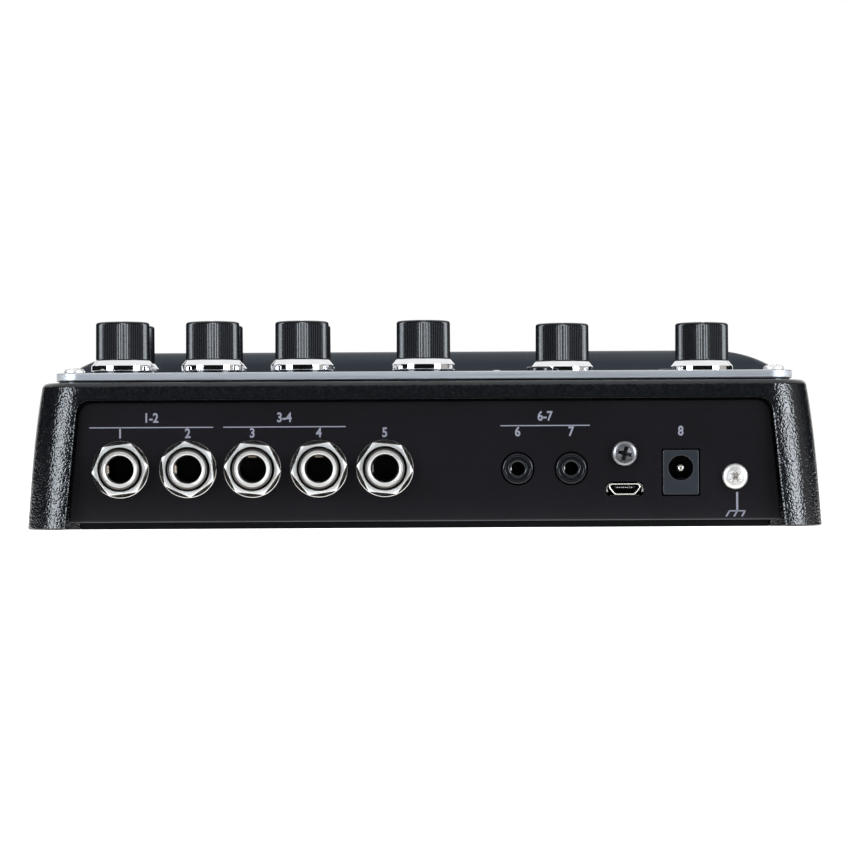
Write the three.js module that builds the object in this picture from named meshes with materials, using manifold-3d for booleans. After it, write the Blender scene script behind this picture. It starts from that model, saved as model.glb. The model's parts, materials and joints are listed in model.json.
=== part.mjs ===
// Delay pedal: a low drafted case with nine knobs on a sloping plate, a raised
// footswitch deck at the front and a row of sockets at the rear.
// Millimetres. The origin is at the centre of the footprint, +Z is up, +X is to the
// right of a player at the front, the front faces -Y and the sockets face +Y.

import * as THREE from 'three';
import { mergeVertices } from 'three/addons/utils/BufferGeometryUtils.js';
import Module from 'manifold-3d';

const wasm = await Module();
wasm.setup();

// Driving dimensions

// Case
const caseWidth = 193.4;
const caseDepth = 133;
const caseRimHeight = 35.4;
const caseCornerRadius = 10.4;
const caseEdgeRadius = 1.3;
const caseWall = 2.5;
const caseTopWall = 2.3;
const caseRearWall = 8.1;
const wallLean = 2.5;
const wallCrown = 1.1;
const wallCrownPower = 3;

// Slopes, in degrees
const panelSlope = 1.1;
const deckSlope = 12;
const riserLean = 18;

// Top plate
const plateThickness = 2.25;
const plateMargin = 6.8;
const plateDepth = 57.9;
const plateCornerRadius = 5.6;
const plateGap = 0.35;
const plateLedge = 6;
const plateScrewInset = 4.7;

// Footswitch deck
const deckRise = 7.4;
const deckWall = 2.5;
const ridgeRadius = 4;
const noseRadius = 6;
const shoulderRadius = 27;
const shoulderInset = 19.3;
const deckPostInset = 16;

// Knobs
const knobColumnShares = [0.8217, 0.5764, 0.3328, 0.0019, -0.38, -0.7643];
const knobRowShares = [0.2176, 0.6494];
const knobFrontColumns = 3;
const knobCapRadius = 6.62;
const knobCapTopRadius = 6.54;
const knobCapHeight = 9.45;
const knobCapEdge = 0.7;
const knobCapCrown = 0.25;
const skirtRadius = 7.72;
const skirtBand = 1.35;
const skirtConeHeight = 1.4;
const skirtLift = 0.75;
const loweredSkirtLift = 0.3;
const shaftRadius = 3;
const shaftReach = 6;

// Rotary controls and key switches on the control board
const controlSize = 11;
const controlHeight = 7;
const controlFloor = 1.2;
const boardThickness = 1.6;
const boardMargin = 3.4;
const keySwitchSize = 6;
const lampSize = 3;

// Push buttons and their lamp, as places across and down the plate; the tape button lies
// a drop below the knobs' middle row
const buttonRadius = 3.2;
const buttonRise = 1.3;
const buttonFlange = 0.9;
const buttonFlangeHeight = 1;
const buttonTravel = 0.6;
const memoryButtonAcrossShare = -0.3146;
const memoryButtonDownShare = 0.2;
const tapeButtonAcrossShare = -0.6847;
const tapeButtonDrop = 10.6;
const memoryLampAcrossShare = -0.198;
const lampGuideRadius = 1.25;
const lampGuideRise = 0.3;

// Rear recess and connector panel
const recessFootMargin = 9.6;
const recessTopMargin = 12.6;
const recessTopDrop = 4.1;
const recessCornerRadius = 3.4;
const recessLedge = 3;
const panelSetback = 4.7;
const panelThickness = 1.2;
const panelEdgeGap = 0.6;

// Sockets. A height is a share of the recess's height. Across the rear, from the +X end,
// each socket has its own width, and the gap before it is a share of the width left free

// Quarter-inch sockets
const jackGapShares = [0.0175, 0.0474, 0.0329, 0.042, 0.0392];
const jackUpShare = 0.4633;
const jackBoreRadius = 3.3;
const jackNoseRadius = 4.8;
const jackNoseProud = 4.5;
const jackBodyWidth = 13;
const jackBodyDepth = 23;
const jackBackWall = 1.5;
const nutAcrossCorners = 13.65;
const nutThickness = 2.3;
const washerRadius = 6.95;
const washerThickness = 0.7;
const nutTurns = [4, 17, 26, 9, 20];

// 3.5 mm sockets
const miniJackGapShares = [0.3909, 0.0746];
const miniJackUpShare = 0.4537;
const miniBoreRadius = 1.8;
const miniRingRadius = 3.6;
const miniNoseRadius = 3.75;
const miniNoseProud = 0.5;
const miniRingStep = 0.8;
const miniBodyWidth = 9;
const miniBodyDepth = 13;

// Data socket
const usbGapShare = 0.0859;
const usbUpShare = 0.2875;
const usbWidth = 7.8;
const usbThickness = 3;
const usbShell = 0.35;
const usbTaper = 1.1;
const usbDepth = 6;
const usbTongueThickness = 0.7;
const usbTongueWidth = 4.4;

// Power socket, whose block stands on the socket board with a small standoff
const dcGapShare = 0.1004;
const dcWidth = 8.8;
const dcTall = 10.9;
const dcStandoff = 0.2;
const dcBoreRise = 6.5;
const dcBoreRadius = 3;
const dcDepth = 14;
const dcBoreDepth = 10;
const dcPinRadius = 0.95;
const dcPinInset = 0.8;
const dcPinSeat = 2;

// Screws
const plateScrewHeadRadius = 2.55;
const plateScrewHeadHeight = 1.35;
const panelScrewHeadRadius = 3.1;
const panelScrewHeadHeight = 1.8;
const panelScrewUpShare = 0.5687;
const groundScrewGapShare = 0.1064;
const groundScrewUpShare = 0.3866;
const screwRadius = 1.5;
const screwLength = 8;
const domeShares = [[1, 0], [1, 0.35], [0.8, 0.85], [0.45, 1], [0, 1]];
const coverScrewHeadRadius = 2.9;
const coverScrewHeadHeight = 1.5;

// Bottom cover, posts and socket board
const coverThickness = 1.6;
const postRadius = 3.2;
const postWeb = 2;
const jackBoardDepth = 27;
const chipLength = 12;
const chipWidth = 9;
const chipHeight = 1.5;

// Footswitches and their lamps, as places across and down the deck
const footswitchAcrossShares = [-0.66, 0, 0.66];
const footswitchReachShare = 0.576;
const bushingRadius = 6;
const bushingProud = 2.8;
const footNutAcrossCorners = 16.5;
const footNutThickness = 1.8;
const plungerRadius = 3.5;
const plungerDepth = 9;
const footCapRadius = 5;
const footCapThickness = 1.3;
const footCapEdgeShare = 0.85;
const footTravel = 1.8;
const footBodySize = 15;
const footBodyHeight = 15;
const statusLampReachShare = 0.303;
const statusLampRadius = 1.7;
const statusBarThickness = 2;
const statusBarWidth = 5;

// Clearances and cuts
const clearance = 0.3;
const fusedDepth = 0.2;
const cutOverrun = 3;

// Facets
const knobSides = 24;
const stemSides = 20;
const socketSides = 20;
const holeSides = 16;
const screwSides = 12;
const nutSides = 6;
const cornerSteps = 5;
const shoulderSteps = 8;

// Placement worked out from the driving dimensions

const halfWidth = caseWidth / 2;
const halfDepth = caseDepth / 2;
const panelTilt = THREE.MathUtils.degToRad(panelSlope);
const deckTilt = THREE.MathUtils.degToRad(deckSlope);
const riserTilt = THREE.MathUtils.degToRad(riserLean);
const quarterTurn = Math.PI / 2;

const plateHalfWidth = halfWidth - plateMargin;
const plateRearY = halfDepth - plateMargin;
const plateFrontY = plateRearY - plateDepth;
const plateTopZ = caseRimHeight + plateGap + plateThickness;

const deckRearY = plateFrontY - 2 * clearance;
const deckFootZ = caseTopAt(deckRearY);
const ridgeZ = deckFootZ + plateGap + plateThickness + deckRise;
const ridgeY = deckRearY - (ridgeZ - deckFootZ) * Math.tan(riserTilt);

const ledgeY = halfDepth - panelSetback - panelThickness;
const panelFrontY = halfDepth - panelSetback;
const innerRearY = halfDepth - caseRearWall;
const recessTopZ = caseRimHeight - recessTopDrop;

const jackHeight = jackUpShare * recessTopZ;
const miniJackHeight = miniJackUpShare * recessTopZ;
const usbHeight = usbUpShare * recessTopZ;
const panelScrewHeight = panelScrewUpShare * recessTopZ;
const groundScrewHeight = groundScrewUpShare * recessTopZ;

// The sockets' bodies stand on their board with this as their lowest level
const socketFootZ = usbHeight - usbThickness / 2;
const dcFoot = socketFootZ + dcStandoff;
const dcBoreHeight = dcFoot + dcBoreRise;

// From the deck's ridge along its slope to the case's front
const deckLength = (ridgeY + halfDepth) / Math.cos(deckTilt);
const footswitchReach = footswitchReachShare * deckLength;
const statusLampReach = statusLampReachShare * deckLength;

// Height of the case's sloping rim at a place along its depth
function caseTopAt(y) {
  return caseRimHeight - (plateRearY - y) * Math.tan(panelTilt);
}

// How far the drafted wall has come in at a height: a straight lean with a slight crown
function wallInset(z) {
  const rise = z / caseRimHeight;
  return wallLean * rise + wallCrown * rise ** wallCrownPower;
}

// Solids and booleans

// Keeps position alone, merges shared vertices and drops triangles without an area
function closedTriangles(geometry) {
  const bare = geometry.clone();
  bare.deleteAttribute('normal');
  bare.deleteAttribute('uv');
  const merged = mergeVertices(bare);
  const index = merged.index.array;
  const kept = [];
  for (let i = 0; i < index.length; i += 3) {
    const [a, b, c] = [index[i], index[i + 1], index[i + 2]];
    if (a !== b && b !== c && c !== a) {
      kept.push(a, b, c);
    }
  }
  return { positions: merged.attributes.position.array, triangles: kept };
}

// Six times the signed volume, which is negative when the faces point in
function signedVolume({ positions, triangles }) {
  const corner = [new THREE.Vector3(), new THREE.Vector3(), new THREE.Vector3()];
  let total = 0;
  for (let i = 0; i < triangles.length; i += 3) {
    corner.forEach((point, k) => point.fromArray(positions, 3 * triangles[i + k]));
    total += corner[0].dot(corner[1].clone().cross(corner[2]));
  }
  return total;
}

function solid(geometry) {
  const mesh = closedTriangles(geometry);
  if (signedVolume(mesh) < 0) {
    mesh.triangles.reverse();
  }
  return new wasm.Manifold(new wasm.Mesh({
    numProp: 3,
    vertProperties: new Float32Array(mesh.positions),
    triVerts: new Uint32Array(mesh.triangles),
  }));
}

function geometryOf(shape) {
  const mesh = shape.getMesh();
  const geometry = new THREE.BufferGeometry();
  geometry.setAttribute('position', new THREE.BufferAttribute(mesh.vertProperties, 3));
  geometry.setIndex(new THREE.BufferAttribute(mesh.triVerts, 1));
  geometry.computeVertexNormals();
  return geometry;
}

function joined(first, ...others) {
  return others.reduce((whole, part) => whole.add(part), first);
}

function cut(first, ...others) {
  return others.reduce((whole, part) => whole.subtract(part), first);
}

// Basic shapes

// Closed outline through corners, each rounded by an arc of its own radius
function roundedShape(corners, steps = cornerSteps) {
  const points = [];
  corners.forEach(([x, y, radius = 0], i) => {
    const here = new THREE.Vector2(x, y);
    const before = new THREE.Vector2(...corners.at(i - 1).slice(0, 2)).sub(here).normalize();
    const after = new THREE.Vector2(...corners[(i + 1) % corners.length].slice(0, 2)).sub(here).normalize();
    if (radius <= 0) {
      points.push(here);
      return;
    }
    const halfAngle = Math.acos(THREE.MathUtils.clamp(before.dot(after), -1, 1)) / 2;
    const bisector = before.clone().add(after).normalize();
    const centre = here.clone().addScaledVector(bisector, radius / Math.sin(halfAngle));
    const start = before.clone().multiplyScalar(radius / Math.tan(halfAngle)).add(here).sub(centre);
    const sweep = (Math.PI - 2 * halfAngle) * Math.sign(before.cross(after)) * -1;
    for (let k = 0; k <= steps; k += 1) {
      points.push(start.clone().rotateAround(new THREE.Vector2(), sweep * k / steps).add(centre));
    }
  });
  return new THREE.Shape(points);
}

function rectangleShape(halfX, halfY, radius, centreX = 0, centreY = 0) {
  return roundedShape([
    [centreX - halfX, centreY - halfY, radius],
    [centreX + halfX, centreY - halfY, radius],
    [centreX + halfX, centreY + halfY, radius],
    [centreX - halfX, centreY + halfY, radius],
  ]);
}

function roundHole(radius, x, y, sides = holeSides) {
  const points = [];
  for (let k = 0; k < sides; k += 1) {
    const angle = 2 * Math.PI * k / sides;
    points.push(new THREE.Vector2(x + radius * Math.cos(angle), y + radius * Math.sin(angle)));
  }
  return new THREE.Path(points);
}

// A plate between two heights, drawn in plan
function slab(shape, low, high) {
  const geometry = new THREE.ExtrudeGeometry(shape, { depth: high - low, bevelEnabled: false });
  return geometry.translate(0, 0, low);
}

// A plate that stands across the depth, drawn as seen from the front
function wallSlab(shape, frontY, rearY) {
  const geometry = new THREE.ExtrudeGeometry(shape, { depth: rearY - frontY, bevelEnabled: false });
  return geometry.rotateX(quarterTurn).translate(0, rearY, 0);
}

// A bar across the width, drawn in side view as depth and height
function crossBar(shape, halfLength) {
  const geometry = new THREE.ExtrudeGeometry(shape, { depth: 2 * halfLength, bevelEnabled: false });
  const sideways = new THREE.Matrix4().makeBasis(
    new THREE.Vector3(0, 1, 0),
    new THREE.Vector3(0, 0, 1),
    new THREE.Vector3(1, 0, 0),
  );
  return geometry.applyMatrix4(sideways).translate(-halfLength, 0, 0);
}

function block(x0, x1, y0, y1, z0, z1) {
  const geometry = new THREE.BoxGeometry(x1 - x0, y1 - y0, z1 - z0);
  return geometry.translate((x0 + x1) / 2, (y0 + y1) / 2, (z0 + z1) / 2);
}

// Turned about the upright axis from pairs of radius and height
function turned(profile, sides) {
  const points = profile.map(([radius, height]) => new THREE.Vector2(radius, height));
  return new THREE.LatheGeometry(points, sides).rotateX(quarterTurn);
}

// The same, lying along the depth with the second value pointing to the rear
function turnedRearward(profile, sides) {
  const points = profile.map(([radius, along]) => new THREE.Vector2(radius, along));
  return new THREE.LatheGeometry(points, sides);
}

function post(radius, low, high, sides = screwSides) {
  return turned([[0, low], [radius, low], [radius, high], [0, high]], sides);
}

function prong(radius, frontY, rearY, sides = screwSides) {
  return turnedRearward([[0, frontY], [radius, frontY], [radius, rearY], [0, rearY]], sides);
}

// Materials

function finish(color, roughness, metalness, opacity = 1) {
  return new THREE.MeshStandardMaterial({
    color,
    roughness,
    metalness,
    opacity,
    transparent: opacity < 1,
  });
}

const crinkleBlack = finish('#1d1d1f', 0.55, 0.1);
const satinBlack = finish('#26272b', 0.42, 0.1);
const panelBlack = finish('#212025', 0.5, 0.1);
const plateMetal = finish('#b9bcc0', 0.32, 0.9);
const nickel = finish('#c9c6c0', 0.18, 1);
const chrome = finish('#d8dade', 0.1, 1);
const darkSteel = finish('#77797d', 0.35, 1);
const glossBlack = finish('#15161a', 0.2, 0);
const moulded = finish('#2b2d33', 0.5, 0);
const boardGreen = finish('#1f4a35', 0.55, 0);
const clearLens = finish('#cfd6dd', 0.1, 0, 0.5);

const pedal = new THREE.Group();

function addPart(name, shape, material, parent = pedal) {
  const geometry = shape instanceof THREE.BufferGeometry ? geometryOf(solid(shape)) : geometryOf(shape);
  const mesh = new THREE.Mesh(geometry, material);
  mesh.name = name;
  parent.add(mesh);
  return mesh;
}

// Control panel: a group that slopes with the plate, with its origin on the plate's
// top at the rear edge, so that a place is given across and down the plate
const panel = new THREE.Group();
panel.position.set(0, plateRearY, plateTopZ);
panel.rotation.x = panelTilt;
pedal.add(panel);
panel.updateMatrixWorld(true);

// The same slope for a cutter that works on the case
function onPanel(geometry) {
  return geometry.applyMatrix4(panel.matrixWorld);
}

const plateScrewPlaces = [-1, 1].flatMap((side) => [plateScrewInset, plateDepth - plateScrewInset]
  .map((down) => ({ x: side * (plateHalfWidth - plateScrewInset), y: -down })));

// The first columns have a knob in both rows, the next one in the rear row alone, and
// the last ones a lower knob half way between the rows
const [rearRowY, frontRowY] = knobRowShares.map((share) => -share * plateDepth);
const middleRowY = (rearRowY + frontRowY) / 2;
const knobs = knobColumnShares.map((share, column) => ({
  x: share * plateHalfWidth,
  y: column > knobFrontColumns ? middleRowY : rearRowY,
  lift: column > knobFrontColumns ? loweredSkirtLift : skirtLift,
}));
for (let column = 0; column < knobFrontColumns; column += 1) {
  knobs.push({ x: knobs[column].x, y: frontRowY, lift: skirtLift });
}

const memoryButton = {
  x: memoryButtonAcrossShare * plateHalfWidth,
  y: -memoryButtonDownShare * plateDepth,
};
const tapeButton = {
  x: tapeButtonAcrossShare * plateHalfWidth,
  y: middleRowY - tapeButtonDrop,
};
const memoryLamp = { x: memoryLampAcrossShare * plateHalfWidth, y: memoryButton.y };

// Cover screws: the rear pair lies under the plate's rear screws, the front pair under
// the deck's posts
const rearPost = {
  x: plateHalfWidth - plateScrewInset,
  y: plateRearY - plateScrewInset * Math.cos(panelTilt),
};
const frontPost = { x: halfWidth - deckPostInset, y: -halfDepth + deckPostInset };

// Case

// A ring of the case's plan outline at a height, drawn in by a wall or an edge
function caseRing(z, drawnIn) {
  const inset = wallInset(z) + drawnIn;
  const radius = Math.max(caseCornerRadius - drawnIn, caseEdgeRadius);
  return rectangleShape(halfWidth - inset, halfDepth - inset, radius).getPoints();
}

// Stacked rings with flat ends; slope tips the upper rings to follow the case's rim
function stackedRings(rings, slope) {
  const count = rings[0].points.length;
  const positions = [];
  const triangles = [];
  rings.forEach(({ z, points }) => points.forEach(({ x, y }) => {
    positions.push(x, y, slope ? z * caseTopAt(y) / caseRimHeight : z);
  }));
  for (let level = 1; level < rings.length; level += 1) {
    for (let k = 0; k < count; k += 1) {
      const [a, b] = [(level - 1) * count + k, (level - 1) * count + (k + 1) % count];
      triangles.push(a, b, b + count, a, b + count, a + count);
    }
  }
  const last = (rings.length - 1) * count;
  THREE.ShapeUtils.triangulateShape(rings[0].points, []).forEach(([a, b, c]) => triangles.push(a, c, b));
  THREE.ShapeUtils.triangulateShape(rings.at(-1).points, [])
    .forEach(([a, b, c]) => triangles.push(last + a, last + b, last + c));
  const geometry = new THREE.BufferGeometry();
  geometry.setAttribute('position', new THREE.Float32BufferAttribute(positions, 3));
  geometry.setIndex(triangles);
  return geometry;
}

const wallLevelShares = [0, 0.3, 0.55, 0.78];

// The case's full block with its rounded top edge
function caseOuter() {
  const edgeFoot = caseRimHeight - caseEdgeRadius;
  const levels = wallLevelShares.map((share) => share * edgeFoot);
  const rings = levels.map((z) => ({ z, points: caseRing(z, 0) }));
  for (let k = 0; k <= cornerSteps; k += 1) {
    const angle = quarterTurn * k / cornerSteps;
    const z = edgeFoot + caseEdgeRadius * Math.sin(angle);
    rings.push({ z, points: caseRing(z, caseEdgeRadius * (1 - Math.cos(angle))) });
  }
  return stackedRings(rings, true);
}

// A block inside or flush with the case's wall, from below the foot to a height
function caseFill(drawnIn, top, slope) {
  const heights = [-cutOverrun, ...wallLevelShares.map((share) => share * top), top];
  return stackedRings(heights.map((z) => ({ z, points: caseRing(z, drawnIn) })), slope);
}

// Everything above the sloping plane on which the deck lies, raised by a gap
function aboveParting(gap) {
  const reach = caseDepth;
  const wedge = new THREE.Shape([
    new THREE.Vector2(deckRearY, deckFootZ + gap),
    new THREE.Vector2(deckRearY, deckFootZ + reach),
    new THREE.Vector2(deckRearY - reach, deckFootZ + reach),
    new THREE.Vector2(deckRearY - reach, deckFootZ + gap - reach * Math.tan(deckTilt)),
  ]);
  return crossBar(wedge, caseWidth);
}

// The trapezium recess in the rear wall, drawn in by a margin and open at the foot
function recessShape(margin, foot) {
  const topHalf = halfWidth - recessTopMargin - margin;
  const footHalf = halfWidth - recessFootMargin - margin;
  const splay = (footHalf - topHalf) * (recessTopZ - margin - foot) / recessTopZ;
  return roundedShape([
    [-topHalf - splay, foot],
    [topHalf + splay, foot],
    [topHalf, recessTopZ - margin, recessCornerRadius],
    [-topHalf, recessTopZ - margin, recessCornerRadius],
  ]);
}

function plateWindow() {
  const halfX = plateHalfWidth - plateLedge;
  const halfY = plateDepth / 2 - plateLedge;
  const shape = rectangleShape(halfX, halfY, plateCornerRadius, 0, -plateDepth / 2);
  return onPanel(slab(shape, -plateThickness - caseRimHeight / 2, cutOverrun));
}

function makeHousing() {
  const inner = solid(caseFill(caseWall, caseRimHeight - caseTopWall, true));
  const beforeRearWall = solid(block(
    -caseWidth, caseWidth, -caseDepth, innerRearY, -2 * cutOverrun, 2 * caseRimHeight,
  ));
  const underDeck = solid(block(
    -caseWidth, caseWidth, -caseDepth, deckRearY - deckWall, -2 * cutOverrun, 2 * caseRimHeight,
  ));
  let shell = cut(
    solid(caseOuter()),
    solid(aboveParting(0)),
    inner.intersect(beforeRearWall),
    solid(caseFill(caseWall, caseRimHeight + cutOverrun, false)).intersect(underDeck),
    solid(plateWindow()),
    solid(wallSlab(recessShape(0, -cutOverrun), ledgeY, halfDepth + cutOverrun)),
    solid(wallSlab(recessShape(recessLedge, -cutOverrun), innerRearY - cutOverrun, ledgeY + cutOverrun)),
  );
  const room = solid(caseOuter());
  const postTop = caseRimHeight - caseTopWall;
  [-1, 1].forEach((side) => {
    const x = side * rearPost.x;
    const wallX = side * (halfWidth - wallInset(caseRimHeight) - caseWall / 2);
    const posts = [[rearPost.y, coverThickness], [plateFrontY + plateScrewInset, caseRimHeight / 2]];
    posts.forEach(([y, foot]) => {
      const upright = post(postRadius, foot, postTop).translate(x, y, 0);
      const web = block(
        Math.min(x, wallX), Math.max(x, wallX), y - postWeb / 2, y + postWeb / 2,
        caseRimHeight / 2, postTop,
      );
      shell = joined(shell, solid(upright), solid(web).intersect(room));
    });
  });
  plateScrewPlaces.forEach(({ x, y }) => {
    const reach = plateThickness + plateGap + screwLength;
    const pilot = post(screwRadius + clearance, -reach, cutOverrun).translate(x, y, 0);
    shell = cut(shell, solid(onPanel(pilot)));
  });
  [-1, 1].forEach((side) => {
    const pilot = post(screwRadius + clearance, -cutOverrun, screwLength + clearance)
      .translate(side * rearPost.x, rearPost.y, 0);
    shell = cut(shell, solid(pilot));
  });
  return shell;
}

addPart('main_housing', makeHousing(), crinkleBlack);

// Top plate with holes for shafts, buttons, lamp and screws
function makeTopPlate() {
  const shape = rectangleShape(plateHalfWidth, plateDepth / 2, plateCornerRadius, 0, -plateDepth / 2);
  knobs.forEach(({ x, y }) => {
    shape.holes.push(roundHole(shaftRadius + 2 * clearance, x, y));
  });
  [memoryButton, tapeButton].forEach(({ x, y }) => {
    shape.holes.push(roundHole(buttonRadius + clearance, x, y));
  });
  shape.holes.push(roundHole(lampGuideRadius + clearance, memoryLamp.x, memoryLamp.y, screwSides));
  plateScrewPlaces.forEach(({ x, y }) => {
    shape.holes.push(roundHole(screwRadius + clearance, x, y, screwSides));
  });
  return slab(shape, -plateThickness, 0);
}

addPart('top_plate', makeTopPlate(), plateMetal, panel);

// A domed screw from its seat: the head stands up and the shank hangs down
function domedScrew(headRadius, headHeight, length) {
  return [
    [0, -length],
    [screwRadius, -length],
    [screwRadius, 0],
    ...domeShares.map(([across, up]) => [across * headRadius, up * headHeight]),
  ];
}

plateScrewPlaces.forEach(({ x, y }, i) => {
  const profile = domedScrew(plateScrewHeadRadius, plateScrewHeadHeight, plateThickness + screwLength);
  const screw = addPart(`top_plate_screw_${i + 1}`, turned(profile, screwSides), nickel, panel);
  screw.position.set(x, y, clearance / 3);
});

// Footswitch deck

// The deck's block: the sloping crowned top, the side view and the case's own walls
function deckBlock(drawnIn) {
  const half = halfWidth;
  const shoulderStart = halfWidth - wallInset(caseRimHeight) - shoulderInset;
  const section = [new THREE.Vector2(-half, -caseRimHeight)];
  const arc = [];
  const radius = shoulderRadius - drawnIn;
  const endAngle = Math.asin(Math.min(1, (half - shoulderStart) / radius));
  for (let k = 0; k <= shoulderSteps; k += 1) {
    const angle = endAngle * (1 - k / shoulderSteps);
    arc.push([shoulderStart + radius * Math.sin(angle), radius * Math.cos(angle) - shoulderRadius]);
  }
  arc.forEach(([x, z]) => section.push(new THREE.Vector2(-x, z)));
  arc.reverse().forEach(([x, z]) => section.push(new THREE.Vector2(x, z)));
  section.push(new THREE.Vector2(half, -caseRimHeight));
  const crowned = wallSlab(new THREE.Shape(section), -caseDepth, caseDepth)
    .rotateX(deckTilt)
    .translate(0, ridgeY, ridgeZ);
  const frontY = -halfDepth + wallInset(caseRimHeight / 2) + drawnIn;
  const topAt = (y) => ridgeZ - drawnIn / Math.cos(deckTilt) - (ridgeY - y) * Math.tan(deckTilt);
  const footZ = deckFootZ - caseRimHeight;
  const riserShift = drawnIn / Math.cos(riserTilt);
  const crestY = ridgeY - riserShift + drawnIn * Math.tan(riserTilt);
  const side = roundedShape([
    [frontY, footZ],
    [deckRearY - riserShift, footZ],
    [deckRearY - riserShift, deckFootZ],
    [crestY, topAt(crestY), Math.max(ridgeRadius - drawnIn, clearance)],
    [frontY, topAt(frontY), Math.max(noseRadius - drawnIn, clearance)],
  ]);
  const walls = caseFill(drawnIn, ridgeZ, false);
  return solid(crowned).intersect(solid(crossBar(side, caseWidth))).intersect(solid(walls));
}

// The deck's own sloping frame, with its origin on the top at the ridge
const deck = new THREE.Group();
deck.position.set(0, ridgeY, ridgeZ);
deck.rotation.x = deckTilt;
pedal.add(deck);
deck.updateMatrixWorld(true);

const footswitchPlaces = footswitchAcrossShares.map((share) => ({
  x: share * plateHalfWidth,
  y: -footswitchReach,
}));
const statusLampPlaces = footswitchPlaces.map(({ x }) => ({ x, y: -statusLampReach }));

function makeDeck() {
  const above = solid(aboveParting(clearance));
  const outer = deckBlock(0);
  let shell = outer.intersect(above).subtract(deckBlock(deckWall));
  [-1, 1].forEach((side) => {
    const x = side * frontPost.x;
    const upright = post(postRadius, coverThickness, ridgeZ).translate(x, frontPost.y, 0);
    const pilot = post(screwRadius + clearance, 0, screwLength + clearance).translate(x, frontPost.y, 0);
    shell = cut(joined(shell, solid(upright).intersect(outer)), solid(pilot));
  });
  const holes = footswitchPlaces.map(({ x, y }) => {
    const hole = post(bushingRadius + clearance, -footBodyHeight, cutOverrun, socketSides);
    return hole.translate(x, y, 0);
  });
  statusLampPlaces.forEach(({ x, y }) => {
    holes.push(post(statusLampRadius + clearance, -deckWall - cutOverrun, cutOverrun).translate(x, y, 0));
  });
  holes.forEach((hole) => {
    shell = cut(shell, solid(hole.applyMatrix4(deck.matrixWorld)));
  });
  return shell;
}

addPart('footswitch_deck', makeDeck(), satinBlack);

// Footswitches: a body with its bushing and nut, and a cap that travels
function makeFootswitchBody() {
  const half = footBodySize / 2;
  const top = -deckWall - clearance;
  const bore = plungerRadius + clearance;
  const wellFloor = -deckWall - plungerDepth - footTravel - clearance;
  const body = joined(
    solid(block(-half, half, -half, half, top - footBodyHeight, top)),
    solid(post(bushingRadius, top - fusedDepth, bushingProud, socketSides)),
    solid(post(footNutAcrossCorners / 2, clearance, clearance + footNutThickness, nutSides)),
  );
  const well = post(bore, wellFloor, bushingProud + cutOverrun, holeSides);
  return cut(body, solid(well));
}

function makeFootswitchCap() {
  const seat = bushingProud + clearance + footTravel;
  const top = seat + footCapThickness;
  return turned([
    [0, -deckWall - plungerDepth],
    [plungerRadius, -deckWall - plungerDepth],
    [plungerRadius, seat],
    [footCapRadius, seat],
    [footCapRadius, top - footCapThickness / 3],
    [footCapRadius * footCapEdgeShare, top],
    [0, top + clearance],
  ], socketSides);
}

footswitchPlaces.forEach(({ x, y }, i) => {
  const body = addPart(`footswitch_body_${i + 1}`, makeFootswitchBody(), nickel, deck);
  const cap = addPart(`footswitch_cap_${i + 1}`, makeFootswitchCap(), chrome, deck);
  body.position.set(x, y, 0);
  cap.position.set(x, y, 0);
});

// One clear bar under the deck with a lens through each lamp hole
function makeStatusGuide() {
  const halfLength = statusLampPlaces.at(-1).x + statusBarWidth;
  const top = -deckWall - clearance;
  const y = -statusLampReach;
  const bar = block(
    -halfLength, halfLength, y - statusBarWidth / 2, y + statusBarWidth / 2, top - statusBarThickness, top,
  );
  const lenses = statusLampPlaces.map((place) => solid(
    post(statusLampRadius, top - fusedDepth, lampGuideRise).translate(place.x, place.y, 0),
  ));
  return joined(solid(bar), ...lenses);
}

addPart('status_light_guide', makeStatusGuide(), clearLens, deck);

// Knobs: a bright skirt with its shaft, and a cap pushed over the shaft

const controlTop = -plateThickness - clearance;
const controlFoot = controlTop - controlHeight;

function makeStem(lift) {
  const skirtTop = lift + skirtBand + skirtConeHeight;
  return turned([
    [0, controlFoot + controlFloor + clearance],
    [shaftRadius, controlFoot + controlFloor + clearance],
    [shaftRadius, lift],
    [skirtRadius, lift],
    [skirtRadius, lift + skirtBand],
    [knobCapRadius, skirtTop],
    [shaftRadius, skirtTop],
    [shaftRadius, skirtTop + shaftReach],
    [0, skirtTop + shaftReach],
  ], stemSides);
}

function makeCap(lift) {
  const foot = lift + skirtBand + skirtConeHeight + clearance;
  const top = lift + skirtBand + skirtConeHeight + knobCapHeight;
  const socket = shaftRadius + clearance;
  const socketTop = foot + shaftReach;
  return turned([
    [0, socketTop],
    [socket, socketTop],
    [socket, foot],
    [knobCapRadius, foot],
    [knobCapTopRadius, top - knobCapEdge - knobCapCrown],
    [knobCapTopRadius - knobCapEdge / 3, top - knobCapEdge / 3 - knobCapCrown],
    [knobCapTopRadius - knobCapEdge, top - knobCapCrown],
    [0, top],
  ], knobSides);
}

knobs.forEach(({ x, y, lift }, i) => {
  const stem = addPart(`knob_${i + 1}_stem`, makeStem(lift), chrome, panel);
  const cap = addPart(`knob_${i + 1}_cap`, makeCap(lift), glossBlack, panel);
  stem.position.set(x, y, 0);
  cap.position.set(x, y, 0);
});

// Push buttons, held up against the plate by a flange
const buttonFoot = -plateThickness - clearance - buttonTravel - buttonFlangeHeight;

function makeButton() {
  const flangeTop = buttonFoot + buttonFlangeHeight;
  return turned([
    [0, buttonFoot],
    [buttonRadius + buttonFlange, buttonFoot],
    [buttonRadius + buttonFlange, flangeTop],
    [buttonRadius, flangeTop],
    [buttonRadius, buttonRise - clearance],
    [buttonRadius - clearance, buttonRise],
    [0, buttonRise],
  ], socketSides);
}

[['memory_button', memoryButton], ['tape_button', tapeButton]].forEach(([name, place]) => {
  addPart(name, makeButton(), glossBlack, panel).position.set(place.x, place.y, 0);
});

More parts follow.
